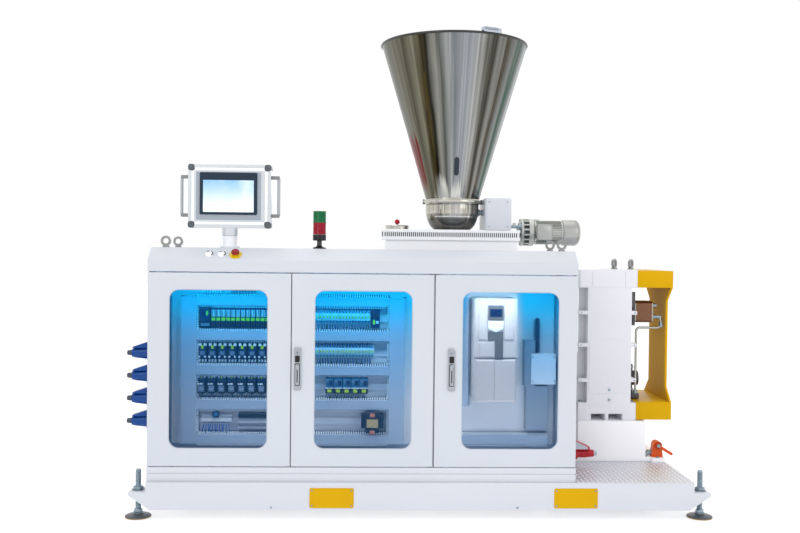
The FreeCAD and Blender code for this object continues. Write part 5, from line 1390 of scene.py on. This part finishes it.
class EXTRUDER_OT_oil(bpy.types.Operator):
    """Brazed plate cooler, gear pump and pipe fittings behind the gearbox"""
    bl_idname = "extruder.oil"
    bl_label = "Oil circuit"

    def execute(self, context):
        x0, x1, y0, y1, z0, z1 = extent("oil_cooler")
        plates, ends, fittings = Shape(), Shape(), Shape()
        pitch = max(3.5, context.scene.extruder_sizes.cooler_pitch / MM)
        middle_y, middle_z = (y0 + y1) / 2, (z0 + z1) / 2
        count = int((x1 - x0 - 12) / pitch)
        step = (x1 - x0 - 12) / count
        for i in range(count):
            plates.plate(y1 - y0, z1 - z0, 20, step * 0.66, (x0 + 6 + i * step, middle_y, middle_z), RIGHT,
                         0.9, steps=4)
        plates.plate(y1 - y0 - 8, z1 - z0 - 8, 17, x1 - x0 - 8, (x0 + 4, middle_y, middle_z), RIGHT, 1,
                     steps=4)
        for x in (x0, x1 - 5):
            ends.plate(y1 - y0, z1 - z0, 20, 5, (x, middle_y, middle_z), RIGHT, 1.2, steps=6)
        low, high, _, _, pipe_low, pipe_high = extent("oil_pipe")
        pipe_y = centre("oil_pipe")[1]
        for y, z in ((pipe_y, z0 + 33), (pipe_y, z1 - 24), (y1 - 22, z0 + 24), (y1 - 22, z1 - 24)):
            fittings.turned([(0, 0), (14, 0), (14, 4), (10, 5), (10, 12), (0, 12)], (x1, y, z), RIGHT, 24)
            fittings.turned([(0, 10), (12, 10), (12.5, 12), (12.5, 22), (11, 24), (0, 24)], (x1, y, z), RIGHT,
                            6)
        fittings.turned([(0, 0), (12, 0), (12, 14), (9, 16), (9, 20), (0, 20)], (low + 6.5, pipe_y, pipe_low),
                        UP, 6)
        fittings.turned([(0, -14), (11, -14), (12, -12), (12, 12), (11, 14), (0, 14)],
                        (high - 6.5, pipe_y, (pipe_low + 2 * pipe_high) / 3 + 96), UP, 6)
        fittings.turned([(0, -16), (9, -16), (9, 16), (0, 16)], (high - 22, pipe_y, pipe_high - 6.5), RIGHT,
                        20)
        make("cooler_plates", plates, "brazed_copper", stands_for=("oil_cooler",))
        make("cooler_ends", ends, "bright_steel")
        make("oil_fittings", fittings, "zinc_steel")
        x0, x1, _, _, z0, z1 = extent("oil_pump")
        dome, bolts, shaft_y, cz = Shape(), Shape(), 50, z0 + 110
        dome.turned([(0, 0), (41.6, 0), (41.6, 7), (38, 9), (38, 20), (34, 28), (24, 33.5), (10, 35.6),
                     (0, 35.6)], (x1 - 36.2, shaft_y, cz), RIGHT, 40)
        bolts.bolt_circle((x1 - 29, shaft_y, cz), RIGHT, 37, 6, 4, 30)
        for z, x in product((z0 + 50, z1 - 16), (x0 + 44, x0 + 60)):
            bolts.bolt((x, shaft_y - 40, z), FRONT, 5)
        make("pump_dome", dome, "pump_iron")
        make("pump_bolts", bolts, "zinc_steel")
        return {"FINISHED"}


class EXTRUDER_OT_valve(bpy.types.Operator):
    """Orange water valve with its nut, elbow and lever sleeve"""
    bl_idname = "extruder.valve"
    bl_label = "Water valve"

    def execute(self, context):
        x0, x1, y0, y1, z0, z1 = extent("valve_body")
        cx, pivot = (x0 + x1) / 2, z1 - 24
        steel, ring = Shape(), Shape()
        steel.turned([(0, 0), (10, 0), (11, 1.5), (11, 6), (9, 8), (0, 8)], (cx, y0 + 2, pivot), FRONT, 6)
        steel.tube(arc_path([(cx, y1 - 18, z0 + 22), (cx - 44, y1 - 18, z0 + 22), (cx - 62, y1 - 18, z0 + 6)],
                            14), 11, 20)
        steel.turned([(0, 0), (15, 0), (15, 12), (12, 14), (0, 14)], (cx - 26, y1 - 18, z0 + 22), LEFT, 6)
        steel.turned([(0, 0), (14, 0), (14, 10), (0, 10)], (cx - 44, y1 - 18, z0 + 22), LEFT, 6)
        ring.turned([(20, 0), (24, 0), (24.6, 2), (24.6, 8), (24, 10), (20, 10), (20, 0)],
                    (cx, y0 + 21, pivot), FRONT, 32)
        ring.turned([(0, 0), (33, 0), (33, 5), (30, 7), (0, 7)], (cx, (y0 + y1) / 2 + 10, z0), steps=8)
        make("valve_elbow", steel, "zinc_steel")
        make("valve_flange", ring, "valve_orange")
        drop, top = math.radians(31), extent("valve_lever")[5]
        turn = Matrix.Translation((cx, centre("valve_lever")[1], top - 11)) @ Matrix.Rotation(drop, 4, "Y")
        sleeve = Shape().box((34, 91), (-6.6, 6.6), (-7.8, 7.8), 2.6, turn)
        for k in range(6):
            sleeve.box((40 + k * 8, 43 + k * 8), (-6.9, 6.9), (-8.0, 8.0), 0.8, turn)
        make("lever_sleeve", sleeve, "valve_orange", "valve_lever")
        return {"FINISHED"}


class EXTRUDER_OT_operator_panel(bpy.types.Operator):
    """Swivelling operator panel: corner pieces, bezel, lit screen and grab rails"""
    bl_idname = "extruder.operator_panel"
    bl_label = "Operator panel"

    def execute(self, context):
        x0, x1, front, _, _, z1 = extent("panel_frame")
        z0 = z1 - 322
        back = front + 66
        corners, inner, bezel, screen, rails, ends, rear = (Shape() for _ in range(7))
        for sx, sz, x, z in ((1, 1, x1, z1), (-1, 1, x0, z1), (-1, -1, x0, z0), (1, -1, x1, z0)):
            place = facing((x - 17 * sx, back + 0.5, z - 17 * sz))
            corners.slab([(px + (0.6 if px * sx > 0 else 0) * sx, pz + (0.6 if pz * sz > 0 else 0) * sz)
                          for px, pz in rounded_outline(35, 35, 12)], 69, place, 2.5)
        px0, px1, _, _, pz0, pz1 = extent("panel_screen")
        mx, mz = (px0 + px1) / 2, (pz0 + pz1) / 2
        face = (px1 - px0 + 38, pz1 - pz0 + 30)
        inner.plate(*face, 4, 0.9, (mx, front + 0.1, mz - 12), edge=0.4)
        border, line = Shape(), Shape()
        wide, tall, place = x1 - x0, z1 - z0, facing(((x0 + x1) / 2, front + 0.2, (z0 + z1) / 2))
        # The thin white ring inside the border is a painted highlight along the aluminium frame.
        for shape, outer, corner, inside, inside_corner, thick in (
                (border, 1, 14, 32, 6, 2.0), (line, 34, 6, 60, 4, 1.2)):
            shape.ring(rounded_outline(wide - outer, tall - outer, corner),
                       rounded_outline(wide - inside, tall - inside, inside_corner), thick, place)
        bezel.plate(px1 - px0, pz1 - pz0, 7, 4, (mx, front - 0.9, mz), edge=1.4)
        bezel.plate(268, 172, 4, 1.0, (mx, front - 4.2, mz - 13), edge=0.5)
        screen.plate(256, 162, 2, 0.5, (mx, front - 5.1, mz - 13), edge=0.1)
        rx0, rx1, _, _, rz0, rz1 = extent("panel_handles")
        ry = centre("panel_handles")[1]
        for edge, out in ((x0, rx0 + 8), (x1, rx1 - 8)):
            way = 1 if out > edge else -1
            rails.tube(arc_path([(edge - 2 * way, ry, rz0 + 8), (out, ry, rz0 + 8), (out, ry, rz1 - 8),
                                 (edge - 2 * way, ry, rz1 - 8)], 7, 6), 7.6, 24)
            for z, lift in ((rz0 + 8, -1), (rz1 - 8, 1)):
                ends.box(sorted((edge - 2 * way, out + 4 * way)), (ry - 9, ry + 9),
                         sorted((z + 9 * lift, z - 8.6 * lift)), 2.5)
        rear.plate(x1 - x0 - 36, z1 - z0 - 36, 10, 5, ((x0 + x1) / 2, back - 0.5, (z0 + z1) / 2), REAR, 1.5)
        for i in range(10):
            rear.box((mx - 90 + i * 20, mx - 82 + i * 20), (back + 4, back + 6), (z1 - 90, z1 - 40), 1)
        fixings, mx, mz = Shape(), (x0 + x1) / 2, (z0 + z1) / 2
        for dx, y, dz, way, size in (
                (170.2, back + 4.2, 124.2, REAR, 4), (196.1, front - 0.8, 147.66, FRONT, 2.6)):
            fixings.cap_screws((mx - dx, mx + dx), (y,), (mz - dz, mz + dz), way, size)
        for name, shape, finish, stands in (("panel_corners", corners, "corner_grey", ()),
                                            ("panel_inner", inner, "panel_face", ()),
                                            ("panel_border", border, "panel_aluminium", ()),
                                            ("panel_line", line, "device_white", ()),
                                            ("panel_bezel", bezel, "screen_front", ("panel_screen",)),
                                            ("panel_glow", screen, "screen_glow", ()),
                                            ("grab_rails", rails, "rail_steel", ("panel_handles",)),
                                            ("rail_ends", ends, "rail_end", ()),
                                            ("panel_back", rear, "panel_aluminium", ()),
                                            ("panel_screws", fixings, "zinc_steel", ())):
            make(name, shape, finish, "operator_panel", stands)
        z0, z1 = extent("panel_post")[4:]
        at = (*centre("panel_post")[:2], z0)
        post = Shape().turned([(0, 0), (49, 0), (50, 1.5), (50, 8), (48, 10), (38, 11), (36, 14), (36, 46),
                               (34.5, 47), (34.5, 50), (36, 51), (36, 60), (34, 61.8), (17.6, 61.8),
                               (17.6, z1 - z0), (0, z1 - z0)], at, steps=48)
        post.bolt_circle((at[0], at[1], z0 + 9.4), UP, 43, 4, 4, 45)
        make("post_column", post, "post_paint", stands_for=("panel_post",))
        return {"FINISHED"}


class EXTRUDER_OT_signals(bpy.types.Operator):
    """Signal tower with red and green lenses, selector knobs and the emergency stop"""
    bl_idname = "extruder.signals"
    bl_label = "Signals and buttons"

    def execute(self, context):
        at = (*centre("signal_tower")[:2], extent("signal_tower")[4])
        dark, steel = Shape(), Shape()
        dark.turned([(0, 0), (33, 0), (34, 1.5), (34, 5), (30, 7), (18, 11), (13.5, 16), (0, 16)], at,
                    steps=40)
        steel.turned([(0, 14), (12.6, 14), (12.6, 42), (0, 42)], at, steps=28)
        dark.turned([(0, 41), (30, 41), (34, 44), (34, 70), (33, 72), (0, 72)], at, steps=40)
        dark.turned([(0, 189), (31, 189), (29, 192), (20, 193), (0, 193)], at, steps=40)
        make("tower_base", dark, "button_plastic", stands_for=("signal_tower",))
        make("tower_pole", steel, "dark_steel")
        for name, low, high, finish in (("tower_red", 73, 130, "lens_red"),
                                        ("tower_green", 133, 189, "lens_green")):
            lens = Shape()
            profile = [(0, low), (33, low)]
            rings = 9
            for i in range(rings):
                base = low + 2 + i * (high - low - 4) / rings
                profile += [(33.8, base + 1), (32.2, base + (high - low - 4) / rings)]
            lens.turned(profile + [(33, high), (0, high)], at, steps=48)
            lens.turned([(31, high), (34, high), (34, high + 3), (31, high + 3), (31, high)], at, steps=40)
            make(name, lens, finish, limit=20)
        console, inward, slope_depth, slope_drop = extent("console"), 34, 82, 60
        slope = Vector((0, -slope_drop, slope_depth)).normalized()
        y, spot_z = console[2] + inward, console[5] - slope_drop + inward * slope_drop / slope_depth
        selector_places, stop_place = (-1074, -1012), -944
        knobs, bezels, stop, ring = (Shape() for _ in range(4))
        for x in selector_places:
            spot = Vector((x, y, spot_z))
            bezels.turned([(0, 0), (20, 0), (20, 5), (17, 8), (0, 8)], spot, slope, 36)
            place = facing(spot, slope)
            bezels.box((-3.4, 3.4), (-13, 13), (7, 15), 1.6, place @ Matrix.Rotation(-0.6, 4, "Z"))
            knobs.tube([place @ Vector((17.5 * math.cos(a * 0.15), 17.5 * math.sin(a * 0.15), 7.2))
                        for a in range(-6, 17)], 2.6, 8)
        spot = Vector((stop_place, y, spot_z))
        ring.turned([(0, 0), (31, 0), (32, 1), (31, 3.6), (0, 3.8)], spot, slope, 48)
        ring.turned([(0, 3), (14, 3), (13, 12), (0, 12)], spot, slope, 32)
        stop.turned([(0, 11), (18, 11), (20.5, 14), (20.5, 20), (18, 24.5), (12, 27), (0, 28)], spot, slope,
                    40)
        make("selector_knobs", knobs, "button_plastic", stands_for=("control_buttons",))
        make("selector_bezels", bezels, "device_white")
        make("stop_ring", ring, "ring_yellow")
        make("stop_cap", stop, "stop_red")
        return {"FINISHED"}


class EXTRUDER_OT_plugs(bpy.types.Operator):
    """Four blue heater plugs and the red supply plug, with ribbed collars, lids and cable glands"""
    bl_idname = "extruder.plugs"
    bl_label = "Power plugs"

    def execute(self, context):
        _, x1, y0, y1, _, z1 = extent("blue_plugs")
        plug_pitch = 114
        tops = [z1 - 56 - plug_pitch * i for i in range(4)]
        blue = [((x1, (y0 + y1) / 2, z), -1, (78, 8, 33, 34, 27, 46, 14, 26, 74, 57, 32, 26, 30))
                for z in tops]
        x0, _, y0, y1, _, z1 = extent("red_plug")
        red = [((x0, (y0 + y1) / 2, z1 - 91), 1, (96, 12, 33, 54, 23, 90, 14, 19, 118, 91, 38, 24, 36))]
        for prefix, plugs, node in (("blue", blue, "blue_plugs"), ("red", red, "red_plug")):
            body, gland, screws, pale = Shape(), Shape(), Shape(), Shape()
            for (x, y, z), way, numbers in plugs:
                flange, deep, collar, collar_run, barrel, run, tip, tip_run = numbers[:8]
                lid, high, lid_tip, lid_low, half = numbers[8:]
                side = facing((x, y, z), (way, 0, 0))
                body.slab(rounded_outline(flange - 1, flange - 1, 9), deep, side, 2)
                reach = flange / 2 - 10
                screws.cap_screws((x + way * (deep - 1),), (y - reach, y + reach), (z - reach, z + reach),
                                  (way, 0, 0), 3.4)
                start = deep + collar_run
                steps = [(collar - 1, start - 10), (collar, start - 9), (collar, start - 2),
                         (collar - 2, start), (barrel + 1, start),
                         (barrel, start + 4)] if way > 0 else [(barrel + 1, start)]
                body.turned([(0, 0), (collar - 1, deep - 1)] + steps
                            + [(barrel * 0.97, start + run * 0.5), (barrel * 0.8, start + run - 1),
                               (0, start + run - 1)], (x, y, z), (way, 0, 0), 40)
                if way > 0:
                    body.fins((x, y, z), 18, (deep + 4, start - 12), 1.6, collar - 4, collar - 0.1, 0.6)
                    body.fins((x, y, z), 18, (start + 6, start + run * 0.55), 1.4, barrel - 5, barrel - 0.1,
                              0.6)
                gland.turned([(0, 0), (tip, 0), (tip, tip_run * 0.45), (tip - 1, tip_run * 0.5),
                              (tip - 1, tip_run * 0.8), (tip - 4, tip_run), (0, tip_run)],
                             (x + way * (start + run - 1), y, z), (way, 0, 0), 8)
                profile = [(deep, lid_low), (deep + lid, lid_low), (deep + lid, lid_tip), (deep, high)]
                lids = [(body, 0.0, half)] + ([(pale, 9.0, half + 1.0)] if prefix == "red" else [])
                for shape, shrink, width in lids:
                    cx = sum(p[0] for p in profile) / 4
                    cz = sum(p[1] for p in profile) / 4
                    outline = []
                    for px, pz in profile:
                        away = Vector((px - cx, pz - cz))
                        keep = max(0.2, 1 - (shrink + 0.4) / max(away.length, 1))
                        outline.append((cx + away.x * keep, cz + away.y * keep))
                    across = Matrix(((way, 0, 0), (0, 0, -way), (0, 1, 0))).to_4x4()
                    place = Matrix.Translation((x, y + way * width, z)) @ across
                    shape.slab(outline, 2 * width, place, 3)
                body.turned([(0, -half + 2), (5, -half + 2), (5, half - 2), (0, half - 2)],
                            (x + way * (deep + 4), y, z + high - 7), REAR, 16)
            make(prefix + "_plug_bodies", body, "plug_" + prefix, stands_for=(node,))
            make(prefix + "_plug_glands", gland, "gland_dark" if prefix == "blue" else "gland_grey")
            make(prefix + "_plug_screws", screws, "zinc_steel")
            if pale.points:
                make("red_plug_face", pale, "gland_grey")
        return {"FINISHED"}


class EXTRUDER_OT_rear(bpy.types.Operator):
    """Rear side: barrel guard panels and louvres, back panels with their screws and the finned main motor"""
    bl_idname = "extruder.rear"
    bl_label = "Rear side"

    def execute(self, context):
        size = context.scene.extruder_sizes.screw_size / MM
        x0, x1, _, y1, z0, z1 = extent("barrel_guard")
        seams, screws, louvres = Shape(), Shape(), Shape()
        count = 4
        for i in range(count):
            left = x0 + 14 + i * (x1 - x0 - 28) / count
            right = left + (x1 - x0 - 28) / count - 4
            seams.plate(right - left, z1 - z0 - 24, 8, 2.4, ((left + right) / 2, y1 - 0.2, (z0 + z1) / 2),
                        REAR, 1)
            screws.cap_screws((left + 20, right - 20), (y1 + 2,), (z0 + 30, z1 - 30), REAR, size)
            for k in range(12):
                x = (left + right) / 2 - 120 + k * 22
                louvres.box((x, x + 7), (y1 + 1, y1 + 3.2), (z1 - 190, z1 - 90), 1)
        make("guard_panels", seams, "feeder_paint")
        make("guard_louvres", louvres, "device_slate")
        left, right, _, back, low, high = extent("cabinet_back")
        panels = Shape()
        for i in range(3):
            a = left + 12 + i * (right - left - 24) / 3
            b = a + (right - left - 24) / 3 - 5
            panels.plate(b - a, high - low - 60, 10, 2.2, ((a + b) / 2, back - 0.2, (low + high) / 2), REAR,
                         1)
            screws.cap_screws((a + 22, (a + b) / 2, b - 22), (back + 1.8,), (low + 52, high - 52), REAR, size)
        make("back_panels", panels, "cabinet_paint")
        for x, way in ((extent("cabinet_side_left")[0], LEFT), (extent("cabinet_side_right")[1], RIGHT)):
            screws.cap_screws((x,), (-560, -170), (300, 745, 1190), way, size)
        make("panel_fixings", screws, "zinc_steel")
        x0, x1, _, y1, _, z1 = extent("main_motor")
        cy, cz = centre("barrel")[1], z1 - 175
        motor, dark, box = Shape(), Shape(), Shape()
        motor.turned([(0, 90), (138, 90), (138, 556), (0, 556)], (x0, cy, cz), RIGHT, 72)
        flange = Shape().turned([(0, 550), (149, 552), (149, 557), (174, 559), (174.6, 562), (174.6, 587),
                                 (0, 587)], (x0, cy, cz), RIGHT, 72)
        make("main_motor_flange", flange, "gearbox_paint")
        motor.turned([(0, 0), (120, 0), (142, 3), (149.6, 12), (149.6, 96), (0, 96)], (x0, cy, cz), RIGHT, 72)
        motor.fins((x0, cy, cz), 44, (94, 552), 2.4, 132, 149.4, 1)
        # Dark rings on the fan end: painted shade for the openings of its grille.
        for k in range(6):
            radius = 24 + k * 15
            dark.turned([(radius, 0), (radius + 7, 0), (radius + 7, -0.9), (radius, -0.9), (radius, 0)],
                        (x0 + 1, cy, cz), RIGHT, 48)
        motor.box((x0 + 120, x0 + 460), (cy - 149, cy + 149), (187, 214), 3)
        for x in (x0 + 140, x0 + 400):
            for y in (cy - 120, cy + 82):
                motor.box((x, x + 40), (y, y + 40), (210, cz - 100), 3)
        middle = (x0 + x1) / 2
        motor.box((middle - 70, middle + 70), (cy + 60, y1 - 12), (cz - 70, cz + 70), 4)
        box.plate(149, 149, 10, 12, (middle, y1 - 12.2, cz), REAR, 2.5)
        bolts = Shape().cap_screws((middle - 62, middle + 62), (y1 - 0.8,), (cz - 62, cz + 62), REAR, 5)
        bolts.bolt_circle((x1 - 29, cy, cz), LEFT, 158, 8, 8, 22.5)
        make("main_motor_body", motor, "motor_paint", stands_for=("main_motor",))
        make("main_motor_grille", dark, "device_dark")
        make("main_motor_box", box, "motor_paint")
        make("main_motor_bolts", bolts, "zinc_steel")
        return {"FINISHED"}


# ---------------------------------------------------------------- stage

CAMERA_AT = Vector((-0.28607, -5.31862, 1.35031))
CAMERA_YAW, CAMERA_PITCH, CAMERA_ROLL = 0.034336, 0.017949, 0.010701


def area_light(name, at, turn, shape, size, energy):
    """An area light at a point in metres."""
    light = bpy.data.lights.new(name, "AREA")
    light.shape, light.size, light.energy = shape, size, energy
    lamp = bpy.data.objects.new(name, light)
    lamp.location, lamp.rotation_euler = at, turn
    bpy.context.scene.collection.objects.link(lamp)
    return light


class EXTRUDER_OT_stage(bpy.types.Operator):
    """Camera, soft lights, light behind the windows and a white floor"""
    bl_idname = "extruder.stage"
    bl_label = "Stage"

    def execute(self, context):
        sizes = context.scene.extruder_sizes
        scene = bpy.context.scene
        scene.view_settings.view_transform = "Standard"
        world = bpy.data.worlds.new("studio")
        world.use_nodes = True
        world.node_tree.nodes["Background"].inputs["Color"].default_value = (1.0, 1.0, 1.0, 1.0)
        world.node_tree.nodes["Background"].inputs["Strength"].default_value = 1.0
        scene.world = world
        forward = Vector((math.sin(CAMERA_YAW) * math.cos(CAMERA_PITCH), math.cos(CAMERA_YAW)
                          * math.cos(CAMERA_PITCH), -math.sin(CAMERA_PITCH)))
        right = Vector((math.cos(CAMERA_YAW), -math.sin(CAMERA_YAW), 0))
        up = right.cross(forward)
        tilted = right * math.cos(CAMERA_ROLL) + up * math.sin(CAMERA_ROLL)
        upright = up * math.cos(CAMERA_ROLL) - right * math.sin(CAMERA_ROLL)
        lens = bpy.data.cameras.new("view")
        lens.sensor_width, lens.lens = 36.0, 42.59
        camera = bpy.data.objects.new("view", lens)
        turn = Matrix((tilted, upright, -forward)).transposed().to_4x4()
        camera.matrix_world = Matrix.Translation(CAMERA_AT) @ turn
        scene.collection.objects.link(camera)
        scene.camera = camera
        for name, at, size, power in (
                ("key", (-3.2, -5.0, 4.6), 3.4, 60.0), ("fill", (4.2, -4.2, 3.0), 3.0, 26.0),
                ("top", (0.0, 0.6, 5.4), 4.0, 40.0), ("back", (0.5, 5.5, 3.6), 3.6, 40.0)):
            turn = (Vector((0, 0, 1.0)) - Vector(at)).to_track_quat("-Z", "Y").to_euler()
            area_light(name, at, turn, "SQUARE", size, power * sizes.lamp_power)
        bays = (("left", 1.0, 0.12, "top"), ("middle", 1.0, 0.12, "top"), ("right", 1.0, 0.03, "top"),
                ("right", 0.3, 0.04, "foot"))
        for side, share, inward, place in bays:
            x0, x1, _, y1, z0, z1 = [value * MM for value in extent("door_" + side)]
            height, turn = (z1 - 0.03, 0.0) if place == "top" else (z0 + 0.03, math.pi)
            light = area_light("bay_" + side + "_" + place, ((x0 + x1) / 2, y1 + inward, height),
                               (turn, 0.0, 0.0), "RECTANGLE", (x1 - x0) * 0.8, share * sizes.bay_power)
            light.size_y, light.color = 0.06, (0.95, 0.98, 1.0)
        floor_finish = Finish("studio_floor", None, (190, 190, 191), 0.8, emission_strength=0.55)
        floor_finish.shades(floor_finish.noise(0.6, 2.0), 0.01)
        floor_finish.set("Emission Color", (1.0, 1.0, 1.0, 1.0))
        mesh = bpy.data.meshes.new("floor")
        reach = 30.0
        mesh.from_pydata([(-reach, -reach, 0), (reach, -reach, 0), (reach, reach, 0), (-reach, reach, 0)], [],
                         [(0, 1, 2, 3)])
        mesh.materials.append(floor_finish.material)
        floor = bpy.data.objects.new("floor", mesh)
        scene.collection.objects.link(floor)
        return {"FINISHED"}


class EXTRUDER_PT_panel(bpy.types.Panel):
    """Buttons for each builder, and the sizes and colours they use."""
    bl_idname = "EXTRUDER_PT_panel"
    bl_label = "Plastic extruder"
    bl_space_type = "VIEW_3D"
    bl_region_type = "UI"
    bl_category = "Extruder"

    def draw(self, context):
        for group in (context.scene.extruder_sizes, context.scene.extruder_colours):
            column = self.layout.column(align=True)
            for name in group.__annotations__:
                column.prop(group, name)
        column = self.layout.column(align=True)
        for operator in OPERATORS:
            column.operator(operator.bl_idname)


OPERATORS = (EXTRUDER_OT_stage, EXTRUDER_OT_finishes, EXTRUDER_OT_ducts, EXTRUDER_OT_devices,
             EXTRUDER_OT_inverter, EXTRUDER_OT_doors, EXTRUDER_OT_handles, EXTRUDER_OT_feet, EXTRUDER_OT_skid,
             EXTRUDER_OT_hopper, EXTRUDER_OT_feeder, EXTRUDER_OT_gearmotor, EXTRUDER_OT_gearbox,
             EXTRUDER_OT_oil, EXTRUDER_OT_valve, EXTRUDER_OT_operator_panel, EXTRUDER_OT_signals,
             EXTRUDER_OT_plugs, EXTRUDER_OT_rear)
CLASSES = (ExtruderSizes, ExtruderColours) + OPERATORS + (EXTRUDER_PT_panel,)


def register():
    for cls in CLASSES:
        bpy.utils.register_class(cls)
    bpy.types.Scene.extruder_sizes = bpy.props.PointerProperty(type=ExtruderSizes)
    bpy.types.Scene.extruder_colours = bpy.props.PointerProperty(type=ExtruderColours)


def unregister():
    del bpy.types.Scene.extruder_colours
    del bpy.types.Scene.extruder_sizes
    for cls in reversed(CLASSES):
        bpy.utils.unregister_class(cls)


def main():
    """Build every piece and the stage."""
    register()
    for operator in OPERATORS:
        space, name = operator.bl_idname.split(".")
        if getattr(getattr(bpy.ops, space), name)() != {"FINISHED"}:
            raise RuntimeError(operator.bl_label + " didn't finish")


if __name__ == "__main__":
    main()
